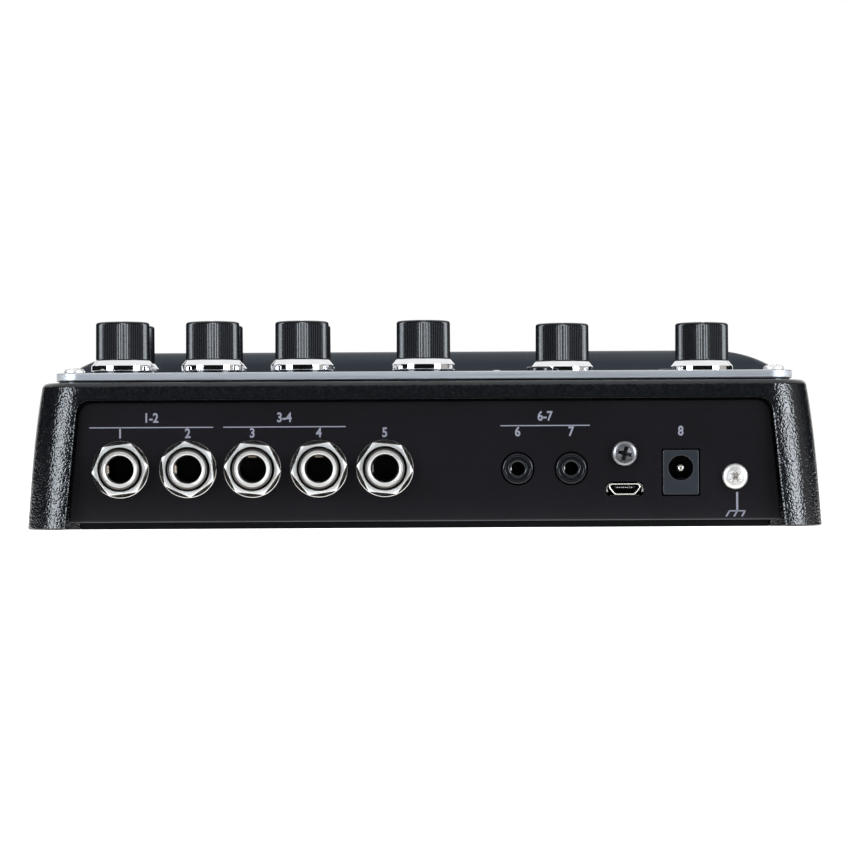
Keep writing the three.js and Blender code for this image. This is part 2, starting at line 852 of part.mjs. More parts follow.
// Clear pin that brings a lamp's light up through the plate
function makeMemoryGuide() {
  const flangeTop = -plateThickness - clearance;
  return turned([
    [0, flangeTop - buttonFlangeHeight],
    [lampGuideRadius + buttonFlange, flangeTop - buttonFlangeHeight],
    [lampGuideRadius + buttonFlange, flangeTop],
    [lampGuideRadius, flangeTop],
    [lampGuideRadius, lampGuideRise],
    [0, lampGuideRise + clearance],
  ], screwSides);
}

const memoryGuide = addPart('memory_light_guide', makeMemoryGuide(), clearLens, panel);
memoryGuide.position.set(memoryLamp.x, memoryLamp.y, 0);

// Control board with a rotary control under each knob, key switches and a lamp
function makeControlBoard() {
  const boardTop = controlFoot;
  const halfX = plateHalfWidth - plateLedge - boardMargin;
  const halfY = plateDepth / 2 - plateLedge;
  const board = slab(
    rectangleShape(halfX, halfY, boardMargin, 0, -plateDepth / 2),
    boardTop - boardThickness,
    boardTop,
  );
  let whole = solid(board);
  knobs.forEach(({ x, y }) => {
    const half = controlSize / 2;
    const box = block(x - half, x + half, y - half, y + half, boardTop - fusedDepth, controlTop);
    const well = post(shaftRadius + clearance, controlFoot + controlFloor, controlTop + cutOverrun, holeSides)
      .translate(x, y, 0);
    whole = cut(joined(whole, solid(box)), solid(well));
  });
  [memoryButton, tapeButton].forEach(({ x, y }) => {
    const half = keySwitchSize / 2;
    const top = buttonFoot - buttonTravel - clearance;
    whole = joined(whole, solid(block(x - half, x + half, y - half, y + half, boardTop - fusedDepth, top)));
  });
  const half = lampSize / 2;
  const lampTop = -plateThickness - buttonFlangeHeight - 2 * clearance;
  const lamp = block(
    memoryLamp.x - half, memoryLamp.x + half, memoryLamp.y - half, memoryLamp.y + half,
    boardTop - fusedDepth, lampTop,
  );
  return joined(whole, solid(lamp));
}

addPart('control_board', makeControlBoard(), boardGreen, panel);

// Rear panel and what it carries

const washerWidth = 2 * washerRadius;
const screwHeadWidth = 2 * panelScrewHeadRadius;
const socketEndX = rearPost.x - postRadius - clearance;
const freeWidth = 2 * socketEndX - jackGapShares.length * washerWidth
  - miniJackGapShares.length * miniBodyWidth - usbWidth - dcWidth - screwHeadWidth;

// Walks along the socket row from the +X end and gives the next piece's centre
let rowEdgeX = socketEndX;
function nextPlace(width, gapShare) {
  const x = rowEdgeX - gapShare * freeWidth - width / 2;
  rowEdgeX = x - width / 2;
  return x;
}

const jackPlaces = jackGapShares.map((share) => nextPlace(washerWidth, share));
const miniJackPlaces = miniJackGapShares.map((share) => nextPlace(miniBodyWidth, share));
const usbX = nextPlace(usbWidth, usbGapShare);
const dcX = nextPlace(dcWidth, dcGapShare);
const groundScrewX = nextPlace(screwHeadWidth, groundScrewGapShare);
const panelFoot = coverThickness + clearance;

function makeRearPanel() {
  const shape = recessShape(panelEdgeGap, panelFoot);
  jackPlaces.forEach((x) => {
    shape.holes.push(roundHole(jackNoseRadius + clearance, x, jackHeight, socketSides));
  });
  miniJackPlaces.forEach((x) => {
    shape.holes.push(roundHole(miniNoseRadius + clearance, x, miniJackHeight, socketSides));
  });
  shape.holes.push(rectangleShape(
    usbWidth / 2 + 2 * clearance, usbThickness / 2 + clearance, clearance, usbX, usbHeight,
  ));
  shape.holes.push(rectangleShape(
    dcWidth / 2 + clearance, dcTall / 2 + clearance, clearance, dcX, dcFoot + dcTall / 2,
  ));
  shape.holes.push(roundHole(screwRadius + clearance, usbX, panelScrewHeight, screwSides));
  shape.holes.push(roundHole(screwRadius + clearance, groundScrewX, groundScrewHeight, screwSides));
  return wallSlab(shape, panelFrontY - panelThickness, panelFrontY);
}

addPart('rear_panel', makeRearPanel(), panelBlack);

const panelBackY = panelFrontY - panelThickness - clearance;

// Quarter-inch socket: a bored nose through the panel with its body behind
function makeJack() {
  const half = jackBodyWidth / 2;
  const backY = panelBackY - jackBodyDepth;
  const body = joined(
    solid(block(-half, half, backY, panelBackY, socketFootZ - jackHeight, half)),
    solid(prong(jackNoseRadius, panelBackY - fusedDepth, panelFrontY + jackNoseProud, socketSides)),
  );
  return cut(body, solid(prong(jackBoreRadius, backY + jackBackWall, halfDepth + cutOverrun, socketSides)));
}

// Hexagon nut with a thin washer under it
function makeJackNut() {
  const washerRear = panelFrontY + washerThickness;
  const body = joined(
    solid(prong(washerRadius, panelFrontY, washerRear, socketSides)),
    solid(prong(nutAcrossCorners / 2, washerRear - fusedDepth, washerRear + nutThickness, nutSides)),
  );
  const bore = jackNoseRadius + clearance;
  return cut(body, solid(prong(bore, panelFrontY - cutOverrun, halfDepth + cutOverrun, socketSides)));
}

jackPlaces.forEach((x, i) => {
  addPart(`jack_${i + 1}`, makeJack(), nickel).position.set(x, 0, jackHeight);
  const nut = addPart(`jack_nut_${i + 1}`, makeJackNut(), nickel);
  nut.position.set(x, 0, jackHeight);
  nut.rotation.y = THREE.MathUtils.degToRad(nutTurns[i]);
});

// 3.5 mm socket: a stepped moulded nose just proud of the panel
function makeMiniJack() {
  const half = miniBodyWidth / 2;
  const noseY = panelFrontY + miniNoseProud;
  const body = joined(
    solid(block(-half, half, panelBackY - miniBodyDepth, panelBackY, socketFootZ - miniJackHeight, half)),
    solid(prong(miniNoseRadius, panelBackY - fusedDepth, noseY, socketSides)),
  );
  return cut(
    body,
    solid(prong(miniBoreRadius, panelBackY - miniBodyDepth + jackBackWall, noseY + cutOverrun, holeSides)),
    solid(prong(miniRingRadius - miniRingStep, noseY - miniRingStep, noseY + cutOverrun, socketSides)),
  );
}

miniJackPlaces.forEach((x, i) => {
  addPart(`mini_jack_${i + 1}`, makeMiniJack(), glossBlack).position.set(x, 0, miniJackHeight);
});

// Data socket: a thin shell, narrower at its foot, round a tongue
function makeUsbPort() {
  const outline = (drawnIn) => {
    const [half, tall] = [usbWidth / 2 - drawnIn, usbThickness / 2 - drawnIn];
    return new THREE.Shape([
      new THREE.Vector2(-half + usbTaper, -tall),
      new THREE.Vector2(half - usbTaper, -tall),
      new THREE.Vector2(half, -tall + usbTaper),
      new THREE.Vector2(half, tall),
      new THREE.Vector2(-half, tall),
      new THREE.Vector2(-half, -tall + usbTaper),
    ]);
  };
  const backY = panelFrontY - usbDepth;
  const tongueHalf = usbTongueWidth / 2;
  const tongue = block(
    -tongueHalf, tongueHalf, backY, panelFrontY - usbShell - clearance,
    -usbTongueThickness / 2, usbTongueThickness / 2,
  );
  const hollow = solid(wallSlab(outline(usbShell), backY + jackBackWall, panelFrontY + cutOverrun));
  return joined(solid(wallSlab(outline(0), backY, panelFrontY)).subtract(hollow), solid(tongue));
}

addPart('usb_port', makeUsbPort(), nickel).position.set(usbX, 0, usbHeight);

// Power socket: a moulded block with a bore and a hole that seats its pin
function makeDcJack() {
  const backY = panelFrontY - dcDepth;
  const boreFloorY = panelFrontY - dcBoreDepth;
  const half = dcWidth / 2;
  return cut(
    solid(block(-half, half, backY, panelFrontY, -dcBoreRise, dcTall - dcBoreRise)),
    solid(prong(dcBoreRadius, boreFloorY, panelFrontY + cutOverrun, socketSides)),
    solid(prong(dcPinRadius + clearance, boreFloorY - dcPinSeat, boreFloorY + cutOverrun)),
  );
}

function makeDcPin() {
  const boreFloorY = panelFrontY - dcBoreDepth;
  const tipY = panelFrontY - dcPinInset;
  return turnedRearward([
    [0, boreFloorY - dcPinSeat + clearance],
    [dcPinRadius, boreFloorY - dcPinSeat + clearance],
    [dcPinRadius, tipY - dcPinRadius / 2],
    [dcPinRadius / 2, tipY],
    [0, tipY],
  ], screwSides);
}

addPart('dc_jack', makeDcJack(), moulded).position.set(dcX, 0, dcBoreHeight);
addPart('dc_pin', makeDcPin(), nickel).position.set(dcX, 0, dcBoreHeight);

// Screws through the rear panel
[
  ['rear_panel_screw', usbX, panelScrewHeight, darkSteel],
  ['ground_screw', groundScrewX, groundScrewHeight, nickel],
].forEach(([name, x, z, material]) => {
  const profile = domedScrew(panelScrewHeadRadius, panelScrewHeadHeight, screwLength);
  addPart(name, turnedRearward(profile, holeSides), material).position.set(x, panelFrontY, z);
});

// Socket board under the sockets
function makeJackBoard() {
  const top = socketFootZ - clearance;
  const endX = rearPost.x - postRadius - 2 * clearance;
  const rearY = panelBackY - clearance;
  const board = solid(block(-endX, endX, rearY - jackBoardDepth, rearY, top - boardThickness, top));
  const chipY = rearY - jackBoardDepth + chipWidth / 2 + clearance;
  const chips = [miniJackPlaces[0], dcX].map((x) => solid(block(
    x - chipLength / 2, x + chipLength / 2, chipY - chipWidth / 2, chipY + chipWidth / 2,
    top - boardThickness - chipHeight, top - boardThickness + fusedDepth,
  )));
  return joined(board, ...chips);
}

addPart('jack_board', makeJackBoard(), boardGreen);

// Bottom cover: a sheet inside the case's foot with a tongue under the rear panel
const coverScrewPlaces = [
  { x: -rearPost.x, y: rearPost.y },
  { x: rearPost.x, y: rearPost.y },
  { x: -frontPost.x, y: frontPost.y },
  { x: frontPost.x, y: frontPost.y },
];

// A countersunk head with its shank above it, as turned from the cover's underside
function countersunk(grow, length) {
  return [
    [0, 0],
    [coverScrewHeadRadius + grow, 0],
    [screwRadius + grow, coverScrewHeadHeight],
    [screwRadius + grow, length],
    [0, length],
  ];
}

function makeBottomCover() {
  const drawnIn = caseWall + clearance;
  const inset = drawnIn + wallInset(coverThickness);
  const corner = Math.max(caseCornerRadius - drawnIn, caseEdgeRadius);
  const rearY = innerRearY - clearance;
  const tongue = halfWidth - recessFootMargin - recessLedge - 2 * clearance;
  const outline = rectangleShape(halfWidth - inset, halfDepth - inset, corner);
  const beforeRearWall = block(
    -caseWidth, caseWidth, -caseDepth, rearY, -cutOverrun, coverThickness + cutOverrun,
  );
  let sheet = joined(
    solid(slab(outline, 0, coverThickness)).intersect(solid(beforeRearWall)),
    solid(block(-tongue, tongue, rearY - fusedDepth, panelFrontY, 0, coverThickness)),
  );
  coverScrewPlaces.forEach(({ x, y }) => {
    const head = turned(countersunk(clearance, coverThickness + cutOverrun), screwSides).translate(x, y, 0);
    sheet = cut(sheet, solid(head));
  });
  return sheet;
}

addPart('bottom_cover', makeBottomCover(), satinBlack);

coverScrewPlaces.forEach(({ x, y }, i) => {
  const screw = addPart(`cover_screw_${i + 1}`, turned(countersunk(0, screwLength), screwSides), darkSteel);
  screw.position.set(x, y, 0);
});

export default pedal;
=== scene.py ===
import json
from math import acos, asin, atan2, copysign, cos, pi, radians, sin, sqrt, tan

import bmesh
import bpy
from mathutils import Matrix, Vector


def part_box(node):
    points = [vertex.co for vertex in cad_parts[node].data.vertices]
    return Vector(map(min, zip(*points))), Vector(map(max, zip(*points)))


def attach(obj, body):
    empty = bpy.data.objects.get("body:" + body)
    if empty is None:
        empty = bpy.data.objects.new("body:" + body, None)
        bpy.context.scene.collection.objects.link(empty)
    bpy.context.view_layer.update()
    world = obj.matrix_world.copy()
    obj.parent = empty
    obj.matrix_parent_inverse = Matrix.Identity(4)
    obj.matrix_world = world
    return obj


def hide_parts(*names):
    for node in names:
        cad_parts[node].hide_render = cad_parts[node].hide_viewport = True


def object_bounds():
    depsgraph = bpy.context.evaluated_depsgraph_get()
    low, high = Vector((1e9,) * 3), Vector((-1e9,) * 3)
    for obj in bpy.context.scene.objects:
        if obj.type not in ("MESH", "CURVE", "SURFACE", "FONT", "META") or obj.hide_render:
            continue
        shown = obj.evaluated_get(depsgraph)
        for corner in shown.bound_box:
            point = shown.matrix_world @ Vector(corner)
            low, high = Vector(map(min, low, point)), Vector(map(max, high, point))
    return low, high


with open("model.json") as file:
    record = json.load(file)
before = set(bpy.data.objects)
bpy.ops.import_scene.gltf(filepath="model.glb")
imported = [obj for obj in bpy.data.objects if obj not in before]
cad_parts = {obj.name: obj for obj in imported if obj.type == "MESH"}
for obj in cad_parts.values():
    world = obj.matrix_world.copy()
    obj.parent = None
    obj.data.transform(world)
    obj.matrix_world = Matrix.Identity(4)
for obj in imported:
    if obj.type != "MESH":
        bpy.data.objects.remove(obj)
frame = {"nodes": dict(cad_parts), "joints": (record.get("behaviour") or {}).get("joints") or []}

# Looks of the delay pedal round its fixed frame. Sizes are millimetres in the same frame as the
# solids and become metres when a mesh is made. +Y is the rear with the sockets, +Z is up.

cad_low, cad_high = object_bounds()

METRES = 0.001
CASE = "case"
GAP = 0.3
CUT_OVERRUN = 4.0
SLIVER = 0.002

# Case
HALF_WIDTH = cad_high.x / METRES
HALF_DEPTH = cad_high.y / METRES
RIM_HEIGHT = 35.4
CORNER_RADIUS = 10.4
EDGE_RADIUS = 1.3
CASE_WALL = 2.5
TOP_WALL = 2.3
REAR_WALL = 8.1
WALL_LEAN = 2.5
WALL_CROWN = 1.1
WALL_CROWN_POWER = 3
FOOT_EDGE = 0.35
RIM_LIFT = 0.2

# Plate
PLATE_THICKNESS = 2.25
PLATE_DEPTH = 57.9
PLATE_CORNER = 5.6
PLATE_EDGE = 0.32
PLATE_GAP = 0.35
PLATE_LEDGE = 6.0
PLATE_UNDERCUT = 0.27
PLATE_END_DRAW = 0.25
PLATE_HOLE_REACH = 4.0
SEAL_INSET = 1.4
SEAL_WIDTH = 1.1
SEAL_EDGE = 0.05

# Deck
DECK_RISE = 7.4
DECK_SHELL = 2.0
RISER_LEAN = radians(18)
RIDGE_RADIUS = 4.0
NOSE_RADIUS = 6.0
SHOULDER_RADIUS = 27.0
SHOULDER_INSET = 19.3
SHOULDER_FILLET = 2.2
SHOULDER_GROWTH_SHARE = 0.286
DECK_REAR_CORNER = 2.5
LAMP_DEPTH_SHARE = 0.303

# Rear recess and panel
RECESS_FOOT_MARGIN = 9.6
RECESS_TOP_MARGIN = 12.6
RECESS_TOP_Z = 31.3
RECESS_CORNER = 3.4
RECESS_LEDGE = 3.0
RECESS_MOUTH = 0.42
MOUTH_SLOPE = 0.4
PANEL_GAP = 0.6
PANEL_THICKNESS = 1.2
PANEL_EDGE = 0.24
PANEL_HOLE_REACH = 6.0

# Knobs and buttons
CAP_RADIUS = 6.62
CAP_TOP_RADIUS = 6.54
CAP_HEIGHT = 9.68
CAP_EDGE = 0.7
CAP_CROWN = 0.25
COLLAR_INSET = 0.6
COLLAR_GAP = 0.04
CAP_GAP = 0.1
SOLE_GAP = 0.12
SOLE_INSET = 0.45
FLUTES = 76
FLUTE_DEPTH = 0.165
SKIRT_RADIUS = 7.72
SKIRT_BAND = 1.4
SKIRT_CONE = 1.22
SHAFT_RADIUS = 3.0
SHAFT_FOOT = -6.5
SHAFT_REACH = 6.0
LOWERED_KNOBS = ("knob_5", "knob_6")
SKIRT_LIFT = 0.65
LOWERED_LIFT = 0.25
POINTER_START = 1.4
POINTER_HALF_WIDTH = 0.42
BUTTON_RADIUS = 3.2
BUTTON_RISE = 1.3
BUTTON_TRAVEL = 0.6
BUTTON_FLANGE = 1.0

# Sockets, switches and screws
JACKS = range(1, 6)
JACK_BORE = 3.46
JACK_NOSE = 4.8
JACK_LIP = 4.36
JACK_ROOT = -1.6
JACK_BODY_FOOT = -24.5
NUT_CORNERS = 13.65
NUT_THICKNESS = 2.3
NUT_WELL = 2.2
NUT_WELL_RADIUS = 5.36
NUT_LIMIT_SHARE = 0.93
NUT_SLOPE = 0.5
NUT_SEGMENTS = 96
THREAD_DEPTH = 0.95
NUT_TURNS = (-22.6, 5.9, 24.2, -21.4, 24.6)
CONTACT_TURNS = (0, 0, -90, -90, 0)
CONTACT_DEPTHS = (3.6, 3.6, 4.2, 4.2, 6.0)
CONTACT_CURL = 1.7
WASHER_RADIUS = 6.95
WASHER_THICKNESS = 0.7
NUT_FACE = WASHER_THICKNESS + NUT_THICKNESS
MINI_NODES = ("mini_jack_1", "mini_jack_2")
MINI_BORE = 1.8
MINI_NOSE = 3.75
MINI_HALF = 4.5
PORT_RISE = 0.15
PORT_WALL = 0.24
DC_BORE = 3.0
DC_DEPTH = 10.0
SCREW_SHANK = 1.5
SCREWS = range(1, 5)
SWITCHES = (1, 2, 3)
SWITCH_TRAVEL = 1.8
SWITCH_BORE = 3.8
SWITCH_BUSH = 6.0
SWITCH_RISE = 2.8


# Frames that the pieces stand in

def box_mm(node):
    low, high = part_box(node)
    return low / METRES, high / METRES


def centre_mm(node):
    low, high = box_mm(node)
    return (low + high) / 2


def moved(x=0.0, y=0.0, z=0.0):
    return Matrix.Translation((x, y, z))


def turned(degrees, axis="Z"):
    return Matrix.Rotation(radians(degrees), 4, axis)


joints = {joint["child"]: joint for joint in frame["joints"]}
knob_names = sorted(name for name in joints if name.startswith("knob_"))
PANEL_TILT = atan2(-joints["knob_1"]["axis"][1], joints["knob_1"]["axis"][2])
DECK_TILT = atan2(-joints["footswitch_1"]["axis"][1], joints["footswitch_1"]["axis"][2])

plate_high = box_mm("top_plate")[1]
PLATE_HALF_WIDTH = plate_high.x
PLATE_REAR_Y = plate_high.y - PLATE_THICKNESS * sin(PANEL_TILT)
PLATE_FRONT_Y = PLATE_REAR_Y - PLATE_DEPTH
PLATE_TOP_Z = plate_high.z
PANEL_Y = box_mm("rear_panel")[1].y
PANEL_FOOT_Z = box_mm("rear_panel")[0].z


def case_top(y):
    return RIM_HEIGHT - (PLATE_REAR_Y - y) * tan(PANEL_TILT)


DECK_REAR_Y = PLATE_FRONT_Y - 2 * GAP
DECK_FOOT_Z = case_top(DECK_REAR_Y)
DECK_HEIGHT = PLATE_GAP + PLATE_THICKNESS + DECK_RISE
RIDGE_Z = DECK_FOOT_Z + DECK_HEIGHT
RIDGE_Y = DECK_REAR_Y - DECK_HEIGHT * tan(RISER_LEAN)

PANEL_FRAME = moved(0, PLATE_REAR_Y, PLATE_TOP_Z) @ Matrix.Rotation(PANEL_TILT, 4, "X")
PLATE_MIDDLE = PANEL_FRAME @ moved(0, -PLATE_DEPTH / 2, 0)
DECK_FRAME = moved(0, RIDGE_Y, RIDGE_Z) @ Matrix.Rotation(DECK_TILT, 4, "X")
REARWARD = Matrix(((-1, 0, 0, 0), (0, 0, 1, 0), (0, 1, 0, 0), (0, 0, 0, 1)))


def on_rear(middle, degrees=0.0):
    """The panel's frame over a place: local x to the viewer's right, y up and z out of the rear."""
    return moved(middle.x, PANEL_Y, middle.z) @ REARWARD @ turned(degrees)


def on_plate(node):
    """The plate's frame under a node's centre."""
    local = PANEL_FRAME.inverted() @ centre_mm(node)
    return PANEL_FRAME @ moved(local.x, local.y)


def knob_place(name):
    """The plate's tilt at a knob's joint."""
    return Matrix.Translation(Vector(joints[name]["pos_m"]) / METRES) @ Matrix.Rotation(PANEL_TILT, 4, "X")


def switch_place(number):
    """The deck's own frame at a footswitch, worked out from its cap's box."""
    local = DECK_FRAME.inverted() @ centre_mm(f"footswitch_cap_{number}")
    return DECK_FRAME @ moved(local.x, local.y)


def port_centre():
    """The data socket's centre, which sits a little over the solid's."""
    return centre_mm("usb_port") + Vector((0, 0, PORT_RISE))


def lamp_places():
    """The lamps stand above the switches, a share of the deck's length below the ridge."""
    reach = LAMP_DEPTH_SHARE * (RIDGE_Y + HALF_DEPTH) / cos(DECK_TILT)
    return [DECK_FRAME @ moved(switch_place(number).translation.x, -reach) for number in SWITCHES]


# Meshes

def added(name, mesh):
    piece = bpy.data.objects.new(name, mesh)
    bpy.context.scene.collection.objects.link(piece)
    return piece


def reworked(mesh, sources, work=None):
    """Fills a mesh from others, with some work done on the whole."""
    shape = bmesh.new()
    for source in sources:
        shape.from_mesh(source)
    if work:
        work(shape)
    shape.to_mesh(mesh)
    shape.free()


def mesh_object(name, points, faces, matrix=Matrix.Identity(4)):
    mesh = bpy.data.meshes.new(name)
    mesh.from_pydata([(matrix @ Vector(point)) * METRES for point in points], [], faces)
    reworked(mesh, [mesh], lambda shape: bmesh.ops.recalc_face_normals(shape, faces=shape.faces))
    return added(name, mesh)


def bands(count, levels, closed=False):
    """Faces between neighbouring rings of equal count, and from the last to the first if closed."""
    total = count * levels
    faces = []
    for a in range(total if closed else total - count):
        b = a + 1 if (a + 1) % count else a + 1 - count
        faces.append([a, b, (b + count) % total, (a + count) % total])
    return faces


def stacked(name, rings, matrix=Matrix.Identity(4)):
    """A closed body from rings of equal count, with a flat face on each end."""
    count = len(rings[0])
    points = sum(rings, [])
    ends = [list(range(count)), list(range(len(points) - count, len(points)))]
    return mesh_object(name, points, ends + bands(count, len(rings)), matrix)


def level(outline, z):
    """A flat ring at a height."""
    return [(p.x, p.y, z) for p in outline]


def facing(outline, y):
    """A ring across the depth, with the outline's y as its height."""
    return [(p.x, y, p.y) for p in outline]


def circle(radius, height, segments):
    angles = [2 * pi * k / segments for k in range(segments)]
    return [(radius * cos(angle), radius * sin(angle), height) for angle in angles]


def lathe(name, profile, segments, matrix=Matrix.Identity(4)):
    """Turned about local z from pairs of radius and height, as a ring if they start off the axis."""
    points = []
    rings = []
    for radius, height in profile:
        ring = circle(radius, height, segments) if radius > 1e-6 else [(0, 0, height)]
        rings.append(range(len(points), len(points) + len(ring)))
        points += ring
    pairs = list(zip(rings, rings[1:]))
    if profile[0][0] > 0:
        pairs.append((rings[-1], rings[0]))
    faces = []
    for lower, upper in pairs:
        for k in range(segments):
            after = (k + 1) % segments
            if len(lower) == 1:
                faces.append([lower[0], upper[k], upper[after]])
            elif len(upper) == 1:
                faces.append([lower[k], lower[after], upper[0]])
            else:
                faces.append([lower[k], lower[after], upper[after], upper[k]])
    return mesh_object(name, points, faces, matrix)


def drill(place, radius, deep, high, segments, chamfer=0.0):
    """A round cutter along local z, wider over the surface by its chamfer."""
    mouth = [(radius, -chamfer), (radius + chamfer, 0)] if chamfer else []
    return lathe("hole", [(0, -deep), (radius, -deep), *mouth, (radius + chamfer, high), (0, high)],
                 segments, place)


def arc(centre, radius, start, end, steps):
    """Points on an arc between two angles in degrees, ends included."""
    found = []
    for k in range(steps + 1):
        angle = radians(start + (end - start) * k / steps)
        found.append((centre[0] + radius * cos(angle), centre[1] + radius * sin(angle)))
    return found


def near(radius, height, *steps):
    """Pairs of radius and height, given as steps away from a place."""
    return [(radius + out, height + up) for out, up in steps]


def quarter(radius, steps, first=0):
    """Pairs of rise and draw on a quarter round, from its upright end to its flat one."""
    angles = [pi / 2 * k / steps for k in range(first, steps + 1)]
    return [(radius * sin(angle), radius * (1 - cos(angle))) for angle in angles]


def rounded(corners, steps):
    """Outline through corners of x, y and radius, each rounded by an arc of as many points."""
    outline = []
    for i, (x, y, radius) in enumerate(corners):
        here = Vector((x, y))
        before = (Vector(corners[i - 1][:2]) - here).normalized()
        after = (Vector(corners[(i + 1) % len(corners)][:2]) - here).normalized()
        half = acos(max(-1.0, min(1.0, before.dot(after)))) / 2
        centre = here + (before + after).normalized() * (radius / sin(half))
        start = here + before * (radius / tan(half)) - centre
        sweep = copysign(pi - 2 * half, -before.cross(after))
        for k in range(steps + 1):
            angle = sweep * k / steps
            outline.append(centre + Vector((
                start.x * cos(angle) - start.y * sin(angle),
                start.x * sin(angle) + start.y * cos(angle),
            )))
    return outline


def mirrored(steps, *right):
    """A rounded outline from its right side's corners and their mirror images."""
    left = [(-x, y, radius) for x, y, radius in right]
    return rounded([left[0], *right, *left[:0:-1]], steps)


def rounded_box(half_x, half_y, radius, steps=6, y=0.0):
    return mirrored(steps, (half_x, y - half_y, radius), (half_x, y + half_y, radius))


def bevelled_block(name, half_x, half_y, low, high, corner, edge, matrix):
    """A block with rounded corners in plan and a rounded edge above and below."""
    edges = quarter(edge, 4)
    levels = [(low + edge - rise, drawn) for rise, drawn in reversed(edges)]
    levels += [(high - edge + rise, drawn) for rise, drawn in edges]
    return stacked(name, [level(rounded_box(half_x - drawn, half_y - drawn, corner - drawn), z)
                          for z, drawn in levels], matrix)


def settle(piece):
    """Turns a piece with its modifiers into a plain mesh."""
    bpy.context.view_layer.update()
    graph = bpy.context.evaluated_depsgraph_get()
    mesh = bpy.data.meshes.new_from_object(piece.evaluated_get(graph))
    piece.modifiers.clear()
    piece.data = mesh


def without_slivers(shape):
    """Drops the faces of no width that a cut can leave, which would bend the shading."""
    bmesh.ops.dissolve_degenerate(shape, dist=SLIVER * METRES, edges=shape.edges)


def cut(piece, cutters, work=None):
    """Cuts other bodies out of a piece and removes them."""
    for cutter in cutters:
        modifier = piece.modifiers.new("shape", "BOOLEAN")
        modifier.operation = "DIFFERENCE"
        modifier.solver = "EXACT"
        modifier.object = cutter
    settle(piece)
    for cutter in cutters:
        bpy.data.objects.remove(cutter)
    if work:
        reworked(piece.data, [piece.data], work)
    return piece


def keep_flat(piece, direction):
    """Shades the faces square to a direction as planes, whatever rounds their edges."""
    for face in piece.data.polygons:
        if abs(face.normal.dot(direction)) > 1 - 1e-5:
            face.use_smooth = False


def joined(name, parts):
    """One mesh object from several."""
    mesh = bpy.data.meshes.new(name)
    reworked(mesh, [part.data for part in parts])
    for part in parts:
        bpy.data.objects.remove(part)
    return added(name, mesh)


def dress(piece, material, slot, *nodes, body=CASE, smooth=32):
    """Gives a piece its finish, its shading and the body it rides on."""
    piece.data.materials.clear()
    piece.data.materials.append(material)
    if smooth:
        piece.data.shade_smooth()
        piece.data.set_sharp_from_angle(angle=radians(smooth))
        weights = piece.modifiers.new("normals", "WEIGHTED_NORMAL")
        weights.keep_sharp = True
        weights.weight = 60
    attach(piece, body)
    if nodes:
        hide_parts(*nodes)


# Materials

def feed(node, inputs):
    """Gives each input of a node a constant, or the output of another node."""
    for key, value in inputs.items():
        if isinstance(value, bpy.types.NodeSocket):
            node.id_data.links.new(value, node.inputs[key])
        else:
            node.inputs[key].default_value = value
    return node


def add_node(tree, kind, inputs, operation=None):
    node = tree.nodes.new(kind)
    if operation:
        node.operation = operation
    return feed(node, inputs)


def new_material(name, colour, roughness, metallic=0.0, specular=0.5):
    """A material and its main shader."""
    material = bpy.data.materials.new(name)
    material.use_nodes = True
    shader = material.node_tree.nodes["Principled BSDF"]
    feed(shader, {"Base Color": (*colour, 1), "Roughness": roughness, "Metallic": metallic,
                  "Specular IOR Level": specular})
    return material, shader


def scaled_place(tree, scale=(1, 1, 1)):
    place = tree.nodes.new("ShaderNodeTexCoord").outputs["Object"]
    return add_node(tree, "ShaderNodeMapping", {"Vector": place, "Scale": scale}).outputs["Vector"]


def noise(place, scale, detail, roughness, distortion=0.0):
    inputs = {"Vector": place, "Scale": scale, "Detail": detail, "Roughness": roughness,
              "Distortion": distortion}
    return add_node(place.id_data, "ShaderNodeTexNoise", inputs).outputs["Fac"]


def spread(value, low, high):
    """Maps the middle of a noise to a range."""
    inputs = {"Value": value, "From Min": 0.3, "From Max": 0.7, "To Min": low, "To Max": high}
    return add_node(value.id_data, "ShaderNodeMapRange", inputs).outputs["Result"]


def ramp(value, *stops):
    """A colour ramp between two pairs of position and colour."""
    node = add_node(value.id_data, "ShaderNodeValToRGB", {"Fac": value})
    for element, (position, colour) in zip(node.color_ramp.elements, stops):
        element.position = position
        element.color = (*colour, 1)
    return node.outputs["Color"]


def relief(value, depth):
    """Bump of a depth in millimetres."""
    inputs = {"Height": value, "Strength": 1.0, "Distance": depth * METRES}
    return add_node(value.id_data, "ShaderNodeBump", inputs).outputs["Normal"]


def toned(colour, share):
    return tuple(share * c for c in colour)


def shade(value):
    return (value, value, value)


def crinkle_coat():
    """Black coat whose small rounded cells each catch the light."""
    depth = 0.068
    material, shader = new_material("crinkle_coat", (0.004, 0.005, 0.0065), 0.16, specular=0.48)
    tree = material.node_tree
    place = scaled_place(tree)
    warp = noise(place, 900, 1.0, 0.5)
    shifted = add_node(tree, "ShaderNodeVectorMath", {0: warp, 1: shade(0.0003), 2: place}, "MULTIPLY_ADD")
    cells = add_node(tree, "ShaderNodeTexVoronoi", {})
    cells.feature = "SMOOTH_F1"
    feed(cells, {"Vector": shifted.outputs[0], "Scale": 2000, "Smoothness": 0.2})
    lumps = noise(place, 1200, 1, 0.5)
    grains = {0: cells.outputs["Distance"], 1: -1.0, 2: spread(lumps, 0.0, 0.35)}
    height = add_node(tree, "ShaderNodeMath", grains, "MULTIPLY_ADD")
    feed(shader, {
        "Base Color": ramp(lumps, (0.35, (0.003, 0.0038, 0.005)), (0.65, (0.0052, 0.006, 0.0072))),
        "Roughness": spread(lumps, 0.14, 0.2),
        "Normal": relief(height.outputs[0], depth),
    })
    return material


